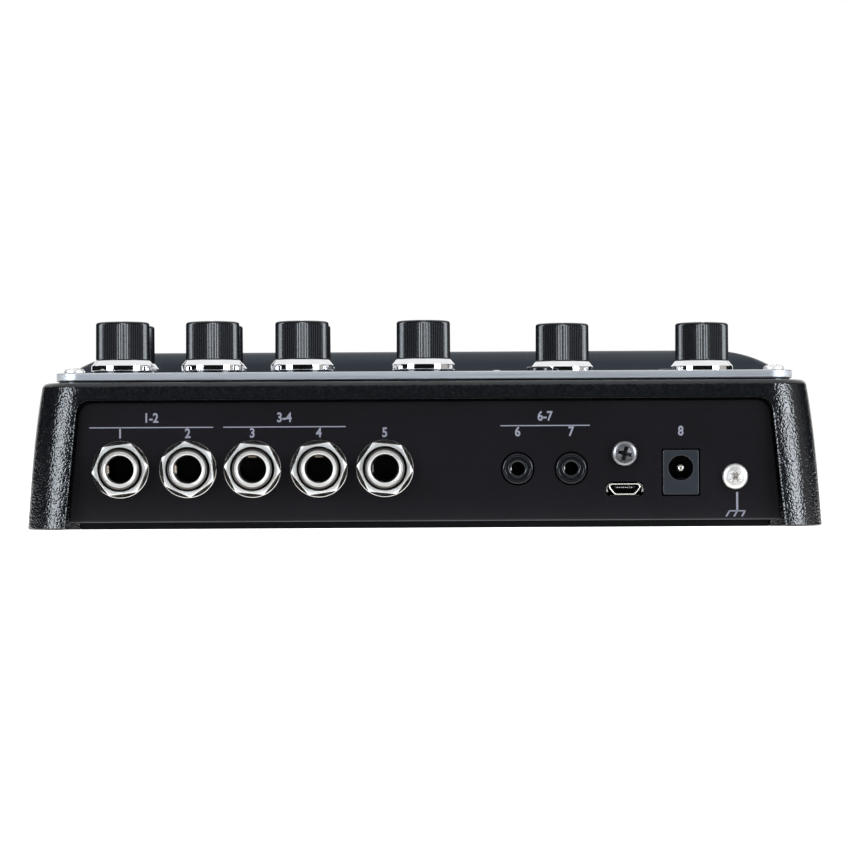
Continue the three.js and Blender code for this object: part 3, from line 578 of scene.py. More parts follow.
def grained(name, colour, grain, tint, stops, gloss, depth=0, metallic=0.0, specular=0.5, scale=(1, 1, 1)):
    """A finish whose grain moves its roughness and relief, and whose tint moves its colour.

    Grain and tint are scale, detail and roughness of a noise, and the stops are pairs of position
    and share of the colour. Gloss is the range of roughness, and scale squeezes the grain's axes.
    """
    material, shader = new_material(name, colour, gloss[0], metallic, specular)
    tree = material.node_tree
    fine = noise(scaled_place(tree, scale), *grain)
    broad = noise(scaled_place(tree), *tint)
    feed(shader, {"Base Color": ramp(broad, *[(position, toned(colour, share)) for position, share in stops]),
                  "Roughness": spread(fine, *gloss)})
    if depth:
        feed(shader, {"Normal": relief(fine, depth)})
    return material


def satin_coat(name, colour, roughness, depth, specular):
    return grained(name, colour, (2600, 3, 0.6), (60, 3, 0.5), [(0.3, 0.9), (0.7, 1.1)],
                   (roughness - 0.05, roughness + 0.05), depth, specular=specular)


def brushed_metal(name, colour, roughness, scale, depth, tone):
    """Fine lines along local X, with the darkest share of the colour."""
    return grained(name, colour, (1.0, 4, 0.65), (90, 2, 0.5), [(0.35, tone), (0.65, 1)],
                   (roughness - 0.08, roughness + 0.1), depth, 1.0, scale=scale)


def plated_metal(name, colour, roughness, marks=0.03):
    """Plated metal with faint marks in its gloss."""
    return grained(name, colour, (900, 4, 0.6, 0.3), (250, 2, 0.5), [(0.35, 0.93), (0.65, 1)],
                   (roughness, roughness + marks), metallic=1.0)


def moulded_plastic(name, colour, roughness, depth, specular=0.5):
    return grained(name, colour, (1900, 3, 0.6), (200, 2, 0.5), [(0.35, 0.88), (0.65, 1)],
                   (roughness, roughness + 0.08), depth, specular=specular)


def printed_ink(name, colour):
    material, shader = new_material(name, colour, 0.45)
    speckle = noise(scaled_place(material.node_tree), 5000, 2, 0.6)
    feed(shader, {"Base Color": ramp(speckle, (0.3, toned(colour, 0.85)), (0.6, colour))})
    return material


def circuit_board():
    material, shader = new_material("circuit_board", (0.015, 0.07, 0.04), 0.4)
    tree = material.node_tree
    cells = add_node(tree, "ShaderNodeTexVoronoi", {"Vector": scaled_place(tree), "Scale": 350})
    cells.distance = "MANHATTAN"
    tracks = ramp(cells.outputs["Distance"], (0.35, (0.012, 0.06, 0.035)), (0.45, (0.02, 0.11, 0.06)))
    feed(shader, {"Base Color": tracks})
    return material


def clear_lens():
    material, shader = new_material("clear_lens", (0.85, 0.88, 0.9), 0.12)
    haze = noise(scaled_place(material.node_tree), 1500, 2, 0.5)
    feed(shader, {"Transmission Weight": 0.75, "Roughness": spread(haze, 0.1, 0.22)})
    return material


crinkle = crinkle_coat()
deck_coat = satin_coat("deck_coat", (0.0135, 0.017, 0.0225), 0.36, 0.004, 0.25)
panel_coat = satin_coat("panel_coat", (0.0052, 0.00475, 0.0065), 0.36, 0.003, 0.18)
cover_coat = satin_coat("cover_coat", (0.0016, 0.0017, 0.002), 0.5, 0.004, 0.05)
# A lighter coat for the strip along the cover's rear edge: a painted highlight.
painted_edge_highlight = satin_coat("painted_edge_highlight", (0.045, 0.048, 0.054), 0.4, 0.002, 0.4)
aluminium = brushed_metal("brushed_aluminium", (0.61, 0.627, 0.66), 0.5, (40, 5200, 5200), 0.0025, 0.97)
satin_nickel = brushed_metal("satin_nickel", (0.90, 0.885, 0.86), 0.53, (2200, 2200, 2200), 0.0012, 0.9)
nose_nickel = plated_metal("nose_nickel", (0.80, 0.78, 0.75), 0.46, 0.08)
# A dark metal: painted shade on the socket threads and on the deepest socket contact, and the dark tone of
# the data port's flares.
dark_metal_and_painted_shade = plated_metal("dark_metal_and_painted_shade", (0.12, 0.112, 0.104), 0.32, 0.1)
bright_nickel = plated_metal("bright_nickel", (0.80, 0.78, 0.75), 0.14)
chrome = plated_metal("chrome_plate", (0.86, 0.87, 0.89), 0.05, 0.025)
zinc = plated_metal("grey_zinc", (0.29, 0.292, 0.30), 0.34, 0.1)
pin_nickel = plated_metal("pin_nickel", (0.85, 0.82, 0.76), 0.34, 0.06)
spring_bronze = plated_metal("spring_bronze", (0.22, 0.185, 0.15), 0.4, 0.1)
gloss_black = moulded_plastic("gloss_black", (0.006, 0.0068, 0.009), 0.15, 0.0008, 0.32)
soft_black = moulded_plastic("soft_black", (0.012, 0.012, 0.0125), 0.32, 0.004)
slate = moulded_plastic("slate_moulding", (0.018, 0.0215, 0.0275), 0.3, 0.002, 0.3)
ink = printed_ink("pale_print", (0.175, 0.185, 0.235))
dial_ink = printed_ink("dark_print", (0.02, 0.022, 0.025))
pointer_ink = printed_ink("white_print", (0.7, 0.7, 0.68))
board = circuit_board()
lens = clear_lens()


# Case

def wall_inset(z):
    rise = max(z, 0.0) / RIM_HEIGHT
    return WALL_LEAN * rise + WALL_CROWN * rise ** WALL_CROWN_POWER


def sloped(outline, z):
    """An outline at a height of the case, with the height following the sloping rim."""
    return [(p.x, p.y, z * case_top(p.y) / RIM_HEIGHT) for p in outline]


def case_ring(z, drawn):
    inset = wall_inset(z) + drawn
    radius = max(CORNER_RADIUS - drawn, EDGE_RADIUS)
    return sloped(rounded_box(HALF_WIDTH - inset, HALF_DEPTH - inset, radius, 14), z)


def case_body():
    edge_foot = RIM_HEIGHT + RIM_LIFT - EDGE_RADIUS
    wall_levels = 12
    levels = [(FOOT_EDGE - rise, drawn) for rise, drawn in reversed(quarter(FOOT_EDGE, 4, 1))]
    for k in range(wall_levels + 1):
        levels.append((FOOT_EDGE + (edge_foot - FOOT_EDGE) * k / wall_levels, 0))
    levels += [(edge_foot + rise, drawn) for rise, drawn in quarter(EDGE_RADIUS, 8, 1)]
    return stacked("case_body", [case_ring(z, drawn) for z, drawn in levels])


def above_parting():
    """What the deck takes off the case's top, across the whole width."""
    reach = 2 * HALF_DEPTH
    far = DECK_REAR_Y - reach
    side = [
        (DECK_REAR_Y, DECK_FOOT_Z), (DECK_REAR_Y, DECK_FOOT_Z + reach), (far, DECK_FOOT_Z + reach),
        (far, DECK_FOOT_Z - reach * tan(DECK_TILT)),
    ]
    return stacked("parting", [[(x, y, z) for y, z in side] for x in (-2 * HALF_WIDTH, 2 * HALF_WIDTH)])


def cavity(name, top, rear_y, slope):
    """The case's inner space up to a height, with its rear face at a given depth."""
    rings = []
    radius = CORNER_RADIUS - CASE_WALL
    for z in (-CUT_OVERRUN, 0, 0.3 * top, 0.55 * top, 0.78 * top, top):
        inset = wall_inset(z) + CASE_WALL
        half_x = HALF_WIDTH - inset
        front = inset - HALF_DEPTH
        outline = mirrored(8, (half_x, front, radius), (half_x, rear_y, 1.0))
        rings.append(sloped(outline, z) if slope else level(outline, z))
    return stacked(name, rings)


def recess_outline(margin, foot, corner=RECESS_CORNER):
    top_half = HALF_WIDTH - RECESS_TOP_MARGIN - margin
    foot_half = HALF_WIDTH - RECESS_FOOT_MARGIN - margin
    top = RECESS_TOP_Z - margin
    splay = (foot_half - top_half) * (top - foot) / RECESS_TOP_Z
    return mirrored(8, (top_half + splay, foot, 0.01), (top_half, top, corner))


def recess_cutter():
    """The recess with a rounded mouth that follows the drafted wall."""
    foot = -CUT_OVERRUN
    wide = recess_outline(-RECESS_MOUTH, foot, RECESS_CORNER + RECESS_MOUTH)
    rings = [facing(wide, HALF_DEPTH + CUT_OVERRUN)]
    for share, depth_share in ((0, 0), (0.08, 0.02), (0.86, 0.8), (0.97, 1.1), (1, 1.7)):
        margin = -RECESS_MOUTH * (1 - share)
        depth = RECESS_MOUTH * MOUTH_SLOPE * depth_share
        outline = recess_outline(margin, foot, RECESS_CORNER - margin)
        rings.append([(p.x, HALF_DEPTH - wall_inset(p.y) - depth, p.y) for p in outline])
    rings.append(facing(recess_outline(0, foot), PANEL_Y - PANEL_THICKNESS))
    return stacked("recess", rings)


def recess_opening():
    """The opening through the wall behind the panel."""
    outline = recess_outline(RECESS_LEDGE, -CUT_OVERRUN)
    depths = (HALF_DEPTH - REAR_WALL - 2, PANEL_Y - PANEL_THICKNESS + 0.5)
    return stacked("recess_opening", [facing(outline, y) for y in depths])


def make_housing():
    window = rounded_box(PLATE_HALF_WIDTH - PLATE_LEDGE, PLATE_DEPTH / 2 - PLATE_LEDGE, PLATE_CORNER,
                         6, -PLATE_DEPTH / 2)
    housing = cut(case_body(), [
        above_parting(),
        cavity("inner_space", RIM_HEIGHT - TOP_WALL, HALF_DEPTH - REAR_WALL, True),
        cavity("deck_opening", RIM_HEIGHT + CUT_OVERRUN, DECK_REAR_Y - CASE_WALL, False),
        stacked("window", [level(window, z) for z in (-4 * CUT_OVERRUN, 1.5 * CUT_OVERRUN)], PANEL_FRAME),
        recess_cutter(),
        recess_opening(),
    ])
    housing.name = "housing_shell"
    dress(housing, crinkle, "housing_crinkle", "main_housing")


# Deck

def deck_section():
    """From the flat top outward and down the end wall: pairs of inset from the wall and drop."""
    radius = SHOULDER_RADIUS
    fillet = SHOULDER_FILLET
    reach = radius - fillet
    across = SHOULDER_INSET - fillet
    centre_drop = radius - sqrt(reach ** 2 - across ** 2)
    meet = asin(across / reach)
    points = []
    for k in range(17):
        angle = meet * k / 16
        points.append((SHOULDER_INSET - radius * sin(angle), radius * (1 - cos(angle))))
    for k in range(1, 7):
        angle = meet + (pi / 2 - meet) * k / 6
        points.append((fillet - fillet * sin(angle), centre_drop - fillet * cos(angle)))
    return points


def half_chord(radius, drop):
    return sqrt(max(0.0, radius ** 2 - (radius - drop) ** 2))


def rear_limit(fall):
    """The riser's place along the slope, with its rounded ridge, at a fall below the deck's top."""
    drop = fall * cos(DECK_TILT)
    lean = RISER_LEAN - DECK_TILT
    if drop < RIDGE_RADIUS * (1 - sin(lean)):
        return half_chord(RIDGE_RADIUS, drop) - RIDGE_RADIUS * tan((pi / 2 - lean) / 2)
    return drop * tan(lean)


def front_limit(fall):
    """The front wall's place along the slope, with its rounded nose, at a fall below the deck's top."""
    drop = fall * cos(DECK_TILT)
    wall = (RIDGE_Y + HALF_DEPTH - wall_inset(RIM_HEIGHT / 2)) / cos(DECK_TILT)
    if drop < NOSE_RADIUS * (1 - sin(DECK_TILT)):
        return NOSE_RADIUS / tan((pi / 2 + DECK_TILT) / 2) - wall - half_chord(NOSE_RADIUS, drop)
    return -wall - drop * tan(DECK_TILT)


def shoulder_growth(along):
    """The shoulder spreads and drops more towards the wider front."""
    return 1 + SHOULDER_GROWTH_SHARE * min(1.0, max(0.0, -along / (HALF_DEPTH + RIDGE_Y)))


def with_side_points(outline, least=20, steps=12):
    """Adds points to the long stretches that run along the depth."""
    dense = []
    for i, point in enumerate(outline):
        after = outline[(i + 1) % len(outline)]
        dense.append(point)
        if (after - point).length > least and abs(after.x - point.x) < 1e-3:
            dense += [point.lerp(after, k / steps) for k in range(1, steps)]
    return dense


def deck_ring(inset, fall_of, rear_radius):
    """One ring of the deck, where fall_of gives the fall for a growth of the shoulder."""
    rim_half = HALF_WIDTH - wall_inset(RIM_HEIGHT)
    flat_edge = rim_half - SHOULDER_INSET
    half = rim_half - inset
    rear = rear_limit(fall_of(shoulder_growth(0)))
    front = front_limit(fall_of(shoulder_growth(-60)))
    outline = mirrored(10, (half, front, CORNER_RADIUS), (half, rear, rear_radius))
    points = []
    for p in with_side_points(outline):
        drop = fall_of(shoulder_growth(p.y)) * cos(DECK_TILT)
        y = RIDGE_Y + p.y * cos(DECK_TILT) + drop * sin(DECK_TILT)
        z = RIDGE_Z + p.y * sin(DECK_TILT) - drop * cos(DECK_TILT)
        x = p.x
        if abs(x) > flat_edge:
            # Beyond the flat middle the section stretches to reach the leaning wall
            stretch = (HALF_WIDTH - wall_inset(z) - flat_edge) / (rim_half - flat_edge)
            x = copysign(flat_edge + (abs(x) - flat_edge) * stretch, x)
        points.append((x, y, z))
    return points


def deck_shell():
    section = deck_section()
    edge_drop = section[-1][1]
    foot = DECK_HEIGHT - GAP / cos(DECK_TILT)
    rings = []
    for share in (0, 0.2, 0.4, 0.6, 0.8, 1):
        rings.append(deck_ring(0, lambda grown: foot + (edge_drop * grown - foot) * share, DECK_REAR_CORNER))
    for inset, drop in reversed(section[:-1]):
        rear_radius = DECK_REAR_CORNER * (1 + min(1.0, inset / SHOULDER_INSET))
        rings.append(deck_ring(inset, lambda grown: drop * grown, rear_radius))
    count = len(rings[0])
    points = sum(rings, [])
    top = list(range(len(points) - count, len(points)))
    deck = mesh_object("deck_shell", points, [top] + bands(count, len(rings)))
    if deck.data.polygons[0].normal.z < 0:
        deck.data.flip_normals()
    thick = deck.modifiers.new("thickness", "SOLIDIFY")
    thick.thickness = DECK_SHELL * METRES
    thick.offset = -1
    settle(deck)
    return deck


def make_deck():
    holes = [drill(switch_place(number), SWITCH_BUSH + GAP, 9, 3, 48, 0.35) for number in SWITCHES]
    holes += [drill(place, 2.0, 9, 3, 32, 0.25) for place in lamp_places()]
    dress(cut(deck_shell(), holes, without_slivers), deck_coat, "deck_satin", "footswitch_deck")


# Plate

def make_plate():
    slab = bevelled_block("control_plate", PLATE_HALF_WIDTH - PLATE_END_DRAW, PLATE_DEPTH / 2,
                          -PLATE_THICKNESS + PLATE_UNDERCUT, 0, PLATE_CORNER, PLATE_EDGE, PLATE_MIDDLE)
    reach = PLATE_HOLE_REACH
    cutters = [drill(knob_place(name), SHAFT_RADIUS + 2 * GAP, reach, reach / 2, 32) for name in knob_names]
    round_holes = [("memory_button", BUTTON_RADIUS + GAP, 0.2), ("tape_button", BUTTON_RADIUS + GAP, 0.2),
                   ("memory_light_guide", 1.55, 0.15)]
    round_holes += [(f"top_plate_screw_{i}", SCREW_SHANK + GAP, 0.1) for i in SCREWS]
    for node, radius, chamfer in round_holes:
        cutters.append(drill(on_plate(node), radius, reach, reach / 2, 40, chamfer))
    dress(cut(slab, cutters, without_slivers), aluminium, "plate_aluminium", "top_plate")
    keep_flat(slab, PANEL_FRAME.to_3x3() @ Vector((0, 0, 1)))


def seal_block(name, inset, overrun):
    low = -PLATE_THICKNESS - PLATE_GAP - overrun
    high = -PLATE_THICKNESS + PLATE_UNDERCUT + 0.02 + overrun
    return bevelled_block(name, PLATE_HALF_WIDTH - inset, PLATE_DEPTH / 2 - inset, low, high,
                          PLATE_CORNER - inset, SEAL_EDGE, PLATE_MIDDLE)


def make_seal():
    seal = cut(seal_block("plate_seal", SEAL_INSET, 0), [seal_block("inner", SEAL_INSET + SEAL_WIDTH, 1)])
    dress(seal, soft_black, "gloss_black")


# Knobs

def fluted_ring(radius, height, depth=0.0):
    """A ring that goes in and out by the flutes' depth."""
    ring = []
    for k in range(2 * FLUTES):
        angle = 2 * pi * (k / 2) / FLUTES
        r = radius - depth * (k % 2)
        ring.append((r * cos(angle), r * sin(angle), height))
    return ring


def fluted_cap(name, foot, top, matrix):
    """The cap from the inside of its collar, up its fluted side and over its crown."""
    collar = CAP_RADIUS - COLLAR_INSET
    sole = foot - CAP_GAP + COLLAR_GAP
    bore = SHAFT_RADIUS + GAP
    rings = [fluted_ring(bore, foot + SHAFT_REACH), fluted_ring(bore, sole), fluted_ring(collar, sole),
             fluted_ring(collar, foot)]
    shoulder = top - CAP_CROWN - CAP_EDGE
    rings.append(fluted_ring(CAP_RADIUS - 0.25, foot))
    rings.append(fluted_ring(CAP_RADIUS - 0.04, foot + 0.18, FLUTE_DEPTH))
    rings.append(fluted_ring(CAP_TOP_RADIUS, shoulder, FLUTE_DEPTH))
    for k, (rise, drawn) in enumerate(quarter(CAP_EDGE, 5, 1), 1):
        share = max(0.0, 1 - 1.4 * k / 5)
        rings.append(fluted_ring(CAP_TOP_RADIUS - drawn, shoulder + rise, FLUTE_DEPTH * share))
    for share in (0.8, 0.5, 0.2):
        rings.append(fluted_ring((CAP_TOP_RADIUS - CAP_EDGE) * share, top - CAP_CROWN * share ** 2))
    return stacked(name, rings, matrix)


def make_knob(name):
    lift = LOWERED_LIFT if name in LOWERED_KNOBS else SKIRT_LIFT
    place = knob_place(name)
    band = lift + SKIRT_BAND
    cone = band + SKIRT_CONE
    top = cone + CAP_HEIGHT
    cap = fluted_cap(f"{name}_grip", cone + CAP_GAP, top, place)
    dress(cap, gloss_black, "gloss_black", f"{name}_cap", body=name, smooth=20)
    skirt = lathe(f"{name}_skirt", [
        (0, SHAFT_FOOT), (SHAFT_RADIUS, SHAFT_FOOT), (SHAFT_RADIUS, lift),
        *near(SKIRT_RADIUS, lift, (-0.14, 0), (-0.04, 0.04), (0, 0.14), (0, 0.2)),
        *near(SKIRT_RADIUS, band, (0, -0.2), (0, -0.16), (-0.04, -0.05), (-0.13, 0.05)),
        *near(CAP_RADIUS, cone, (0.12, -0.12), (0.02, -0.02), (-0.15, 0)),
        (SHAFT_RADIUS, cone), (SHAFT_RADIUS, cone + SHAFT_REACH), (0, cone + SHAFT_REACH),
    ], 120, place)
    dress(skirt, chrome, "chrome", f"{name}_stem", body=name, smooth=24)
    # The black ring under the skirt fills its hollow underside as painted shade, so the gap under the skirt
    # reads dark.
    inner = SHAFT_RADIUS + 0.02
    outer = SKIRT_RADIUS - SOLE_INSET
    sole = lathe(f"{name}_sole", [
        (inner, SOLE_GAP), (outer, SOLE_GAP), (outer, lift - 0.01), (inner, lift - 0.01),
    ], 120, place)
    dress(sole, gloss_black, "gloss_black", body=name)
    edge = CAP_TOP_RADIUS - CAP_EDGE
    half = POINTER_HALF_WIDTH
    rows = []
    for k in range(7):
        y = POINTER_START + (edge - 0.1 - POINTER_START) * k / 6
        height = top - CAP_CROWN * (y / edge) ** 2
        low, high = height - 0.05, height + 0.04
        rows.append([(-half, y, low), (half, y, low), (half, y, high), (-half, y, high)])
    dress(stacked(f"{name}_pointer", rows, place), pointer_ink, "gloss_black", body=name)


# Buttons and light guides

def make_button(node):
    seat = -PLATE_THICKNESS - GAP - BUTTON_TRAVEL
    foot = seat - BUTTON_FLANGE
    r = BUTTON_RADIUS
    top = BUTTON_RISE
    button = lathe(f"{node}_cap", [
        (0, foot), (r + 0.9, foot), (r + 0.9, seat), (r, seat),
        *near(r, top, (0, -0.55), (-0.05, -0.35), (-0.2, -0.15), (-0.45, -0.04), (-0.8, 0)),
        (r * 0.45, top - 0.12), (0, top - 0.16),
    ], 64, on_plate(node))
    dress(button, gloss_black, "gloss_black", node, body=node)


def make_lenses():
    guide = lathe("memory_lens", [
        (0, -3.6), (2.15, -3.6), (2.15, -2.6), (1.25, -2.6), (1.25, 0.05), (1.1, 0.3), (0.7, 0.5), (0, 0.58),
    ], 40, on_plate("memory_light_guide"))
    dress(guide, lens, "clear_lens", "memory_light_guide")
    profile = [(0, -4.6), (1.7, -4.6), (1.7, 0.05), (1.5, 0.3), (1.0, 0.5), (0, 0.58)]
    parts = [lathe("lens", profile, 40, place) for place in lamp_places()]
    first = DECK_FRAME.inverted() @ lamp_places()[0].translation
    parts.append(bevelled_block("bar", 63, 2.5, -4.8, -2.8, 0.8, 0.3, DECK_FRAME @ moved(0, first.y)))
    dress(joined("status_lenses", parts), lens, "clear_lens", "status_light_guide")


# Screws

def cross_cutter(reach, arm, top, depth, matrix, taper=0.5):
    """A cross recess for a driver, with its foot's share of its size."""
    def outline(scale, z):
        a, b = arm / 2 * scale, reach / 2 * scale
        corners = [(b, -a), (b, a), (a, a), (a, b), (-a, b), (-a, a), (-b, a), (-b, -a), (-a, -a), (-a, -b),
                   (a, -b), (a, -a)]
        return [(x, y, z) for x, y in corners]
    return stacked("cross", [outline(taper, top - depth), outline(1.0, top), outline(1.0, top + 2)], matrix)


def domed_screw(name, radius, height, shank, seat, matrix, reach, arm, depth, taper):
    """A pan head with a rounded side, a crowned top and a cross recess."""
    crown = 0.18 * height
    crown_share = 0.58
    shoulder = seat + 0.3 * height
    profile = [(0, seat - shank), (SCREW_SHANK, seat - shank), (SCREW_SHANK, seat), (radius - 0.12, seat),
               (radius, seat + 0.12), (radius, shoulder)]
    for rise, drawn in quarter(1.0, 8, 1):
        profile.append((radius * (1 - (1 - crown_share) * drawn), shoulder + (height * 0.7 - crown) * rise))
    for share in (0.4, 0.2):
        profile.append((radius * share, seat + height - crown * (share / crown_share) ** 2))
    profile.append((0, seat + height))
    cross = cross_cutter(reach, arm, seat + height - crown, depth, matrix, taper)
    return cut(lathe(name, profile, 64, matrix), [cross])


def make_screws():
    for i, turn in enumerate((20, 64, 37, 82), 1):
        node = f"top_plate_screw_{i}"
        place = on_plate(node) @ turned(turn)
        screw = domed_screw(f"plate_screw_{i}", 2.55, 1.35, 9, 0.06, place, 3.0, 0.75, 1.0, 0.5)
        dress(screw, satin_nickel, "nickel", node)
    for node, material, slot, turn, recess in (
        ("rear_panel_screw", zinc, "dark_steel", -14.5, (3.5, 0.95, 2.2, 0.85)),
        ("ground_screw", nose_nickel, "nickel", 45, (3.2, 0.95, 0.8, 0.5)),
    ):
        screw = domed_screw(f"{node}_head", 3.1, 1.8, 8, 0.0, on_rear(centre_mm(node), turn), *recess)
        dress(screw, material, slot, node)
    for i in SCREWS:
        node = f"cover_screw_{i}"
        middle = centre_mm(node)
        place = moved(middle.x, middle.y) @ turned(180, "X") @ turned(30 * i)
        head = lathe(f"foot_screw_{i}", [
            (0, -8), (SCREW_SHANK, -8), (SCREW_SHANK, -1.5), (2.85, -0.12), (2.9, -0.04), (2.8, 0), (0, 0),
        ], 48, place)
        cut(head, [cross_cutter(3.4, 0.9, 0.0, 1.2, place)])
        dress(head, zinc, "dark_steel", node)


# Rear panel and cover

def make_rear_panel():
    rings = []
    back = PANEL_Y - PANEL_THICKNESS
    edge = PANEL_EDGE
    for margin, y in ((edge, back), (0, back + edge), (0, PANEL_Y - 0.7 * edge),
                      (0.1 * edge, PANEL_Y - 0.45 * edge), (edge, PANEL_Y)):
        outline = recess_outline(PANEL_GAP + margin, PANEL_FOOT_Z + margin, RECESS_CORNER - margin)
        rings.append(facing(outline, y))
    panel = stacked("connector_panel", rings)
    places = [(centre_mm(f"jack_nut_{i}"), JACK_NOSE + GAP) for i in JACKS]
    places += [(mini_centre(node), MINI_NOSE + GAP) for node in MINI_NODES]
    places += [(centre_mm(node), SCREW_SHANK + GAP) for node in ("rear_panel_screw", "ground_screw")]
    reach = PANEL_HOLE_REACH
    holes = [drill(on_rear(middle), radius, reach, 2, 48, 0.1) for middle, radius in places]
    low, high = box_mm("dc_jack")
    half = (high - low) / 2
    for middle, outline in (
        (port_centre(), rounded_box(4.6, 1.82, 1.3)),
        ((low + high) / 2, rounded_box(half.x + GAP, half.z + GAP, 0.4)),
    ):
        holes.append(stacked("slot", [level(outline, depth) for depth in (-reach, 2)], on_rear(middle)))
    dress(cut(panel, holes, without_slivers), panel_coat, "panel_satin", "rear_panel")
    keep_flat(panel, Vector((0, 1, 0)))


def cover_outline(drawn):
    """The sheet with its tongue, which reaches under the panel."""
    low, high = box_mm("bottom_cover")
    tongue = HALF_WIDTH - RECESS_FOOT_MARGIN - RECESS_LEDGE - 2 * GAP - drawn
    half = high.x - drawn
    wall = HALF_DEPTH - REAR_WALL - GAP - drawn
    return mirrored(6, (half, low.y + drawn, CORNER_RADIUS - CASE_WALL - GAP), (half, wall, 2.4),
                    (tongue, wall, 0.5), (tongue, high.y - drawn, 0.6))


def make_cover():
    top = box_mm("bottom_cover")[1].z
    levels = ((0.25, 0.0), (0.07, 0.07), (0, 0.25), (0, top - 0.2), (0.2, top))
    cover = stacked("cover_sheet", [level(cover_outline(drawn), z) for drawn, z in levels])
    profile = [(0, -1), (3.3, -1), (3.25, 0), (1.8, 1.5), (1.8, 4), (0, 4)]
    middles = [centre_mm(f"cover_screw_{i}") for i in SCREWS]
    cut(cover, [lathe("hole", profile, 48, moved(middle.x, middle.y)) for middle in middles])
    dress(cover, cover_coat, "panel_satin", "bottom_cover")
    keep_flat(cover, Vector((0, 0, 1)))
    # A lighter strip on the cover just behind the panel's foot, standing for the edge's highlight: painted
    # highlight.
    edge = bevelled_block("cover_edge", HALF_WIDTH - RECESS_FOOT_MARGIN - PANEL_GAP, 0.35, top, top + 0.25,
                          0.1, 0.04, moved(0, PANEL_Y - 0.38))
    dress(edge, painted_edge_highlight, "panel_satin")


# Sockets

def make_nut(name, across_corners, bore, low, high, matrix, *nodes, well=None):
    """A nut with its outer corners turned down to a cone. A well is a radius and depth round the bore."""
    corner = across_corners / 2
    limit = corner * NUT_LIMIT_SHARE

    def six_sided(drawn=None, start=0.0, slope=0.0):
        """A hexagonal ring, cut to the cone where drawn is given, and sloping over its corners."""
        ring = []
        for k in range(NUT_SEGMENTS):
            angle = 2 * pi * k / NUT_SEGMENTS
            inside = (angle + pi / 6) % (pi / 3) - pi / 6
            full = corner * cos(pi / 6) / cos(inside)
            radius = full if drawn is None else min(full, limit) - drawn
            height = start + slope * max(0.0, full - limit)
            ring.append((radius * cos(angle), radius * sin(angle), height))
        return ring
    mouth, depth = well or (bore + 0.36, 0.36)
    inside = [(mouth, high)]
    if well:
        inside = [(mouth + 0.08, high), (mouth, high - 0.08), (mouth - 0.02, high - depth + 0.04)]
    rings = [
        circle(bore, low, NUT_SEGMENTS), six_sided(0.1, low), six_sided(None, low + 0.1, NUT_SLOPE),
        six_sided(None, high - 0.12, -NUT_SLOPE), six_sided(0.12, high),
    ] + [circle(radius, height, NUT_SEGMENTS) for radius, height in inside + [(bore, high - depth)]]
    nut = mesh_object(name, sum(rings, []), bands(NUT_SEGMENTS, len(rings), closed=True), matrix)
    dress(nut, satin_nickel, "nickel", *nodes, smooth=20)


def make_washer(name, inner, outer, low, high, edge, segments, place, material):
    """A flat ring with broken edges."""
    washer = lathe(name, [
        (inner, low + edge), (inner + edge, low), (outer - edge, low), (outer, low + edge),
        (outer, high - edge), (outer - edge, high), (inner + edge, high), (inner, high - edge),
    ], segments, place)
    dress(washer, material, "nickel")


def thread_profile(radius, low, high, pitch, depth):
    """Zigzag of radius and height for turned threads, from low to high."""
    points = []
    count = int((high - low) / pitch)
    for k in range(count):
        z = low + k * pitch
        points += [(radius - depth, z), (radius - depth, z + 0.12 * pitch),
                   (radius, z + 0.45 * pitch), (radius, z + 0.6 * pitch)]
    points.append((radius - depth, low + count * pitch))
    return points


def make_jack_nose(i, front, place):
    """The bright lip and bore."""
    nose = lathe(f"jack_{i}_nose", [
        (JACK_BORE, JACK_ROOT), (JACK_NOSE - 0.3, JACK_ROOT),
        *thread_profile(JACK_NOSE, -1.4, front - NUT_WELL, 0.7, 0.28),
        *near(JACK_LIP, front, (0, 0.1 - NUT_WELL), (0, -0.16), (-0.03, -0.06), (-0.1, 0)),
        *near(JACK_BORE, front, (0.5, 0), (0.4, -0.03), (0.1, -0.19), (0.02, -0.3), (0, -0.45)),
    ], NUT_SEGMENTS, place)
    dress(nose, nose_nickel, "nickel", f"jack_{i}", smooth=28)


def make_jack_thread(i, front, place):
    """The sleeve of thread between the lip and the nut, in a dark metal that is painted shade for the nut's
    well.
    """
    foot = NUT_FACE - NUT_WELL
    threads = thread_profile(NUT_WELL_RADIUS - 0.04, foot, NUT_FACE - THREAD_DEPTH, 0.5, 0.2)
    thread = lathe(f"jack_{i}_thread", [
        (JACK_LIP + 0.01, foot), *threads, (JACK_NOSE, threads[-1][1] - 0.1),
        *near(JACK_NOSE, front, (0, -0.42), (-0.1, -0.3), (-0.16, -0.33), (-0.3, -0.22)),
        *near(JACK_LIP, front, (0.06, -0.15), (0.01, -0.17)),
    ], NUT_SEGMENTS, place)
    dress(thread, dark_metal_and_painted_shade, "nickel", smooth=20)


def make_body(name, half, low, high, corner, place, *wells, slot="gloss_black"):
    """The plain block behind a socket or under a switch."""
    body = bevelled_block(name, half, half, low, high, corner, corner / 2, place)
    dress(cut(body, wells), soft_black, slot)


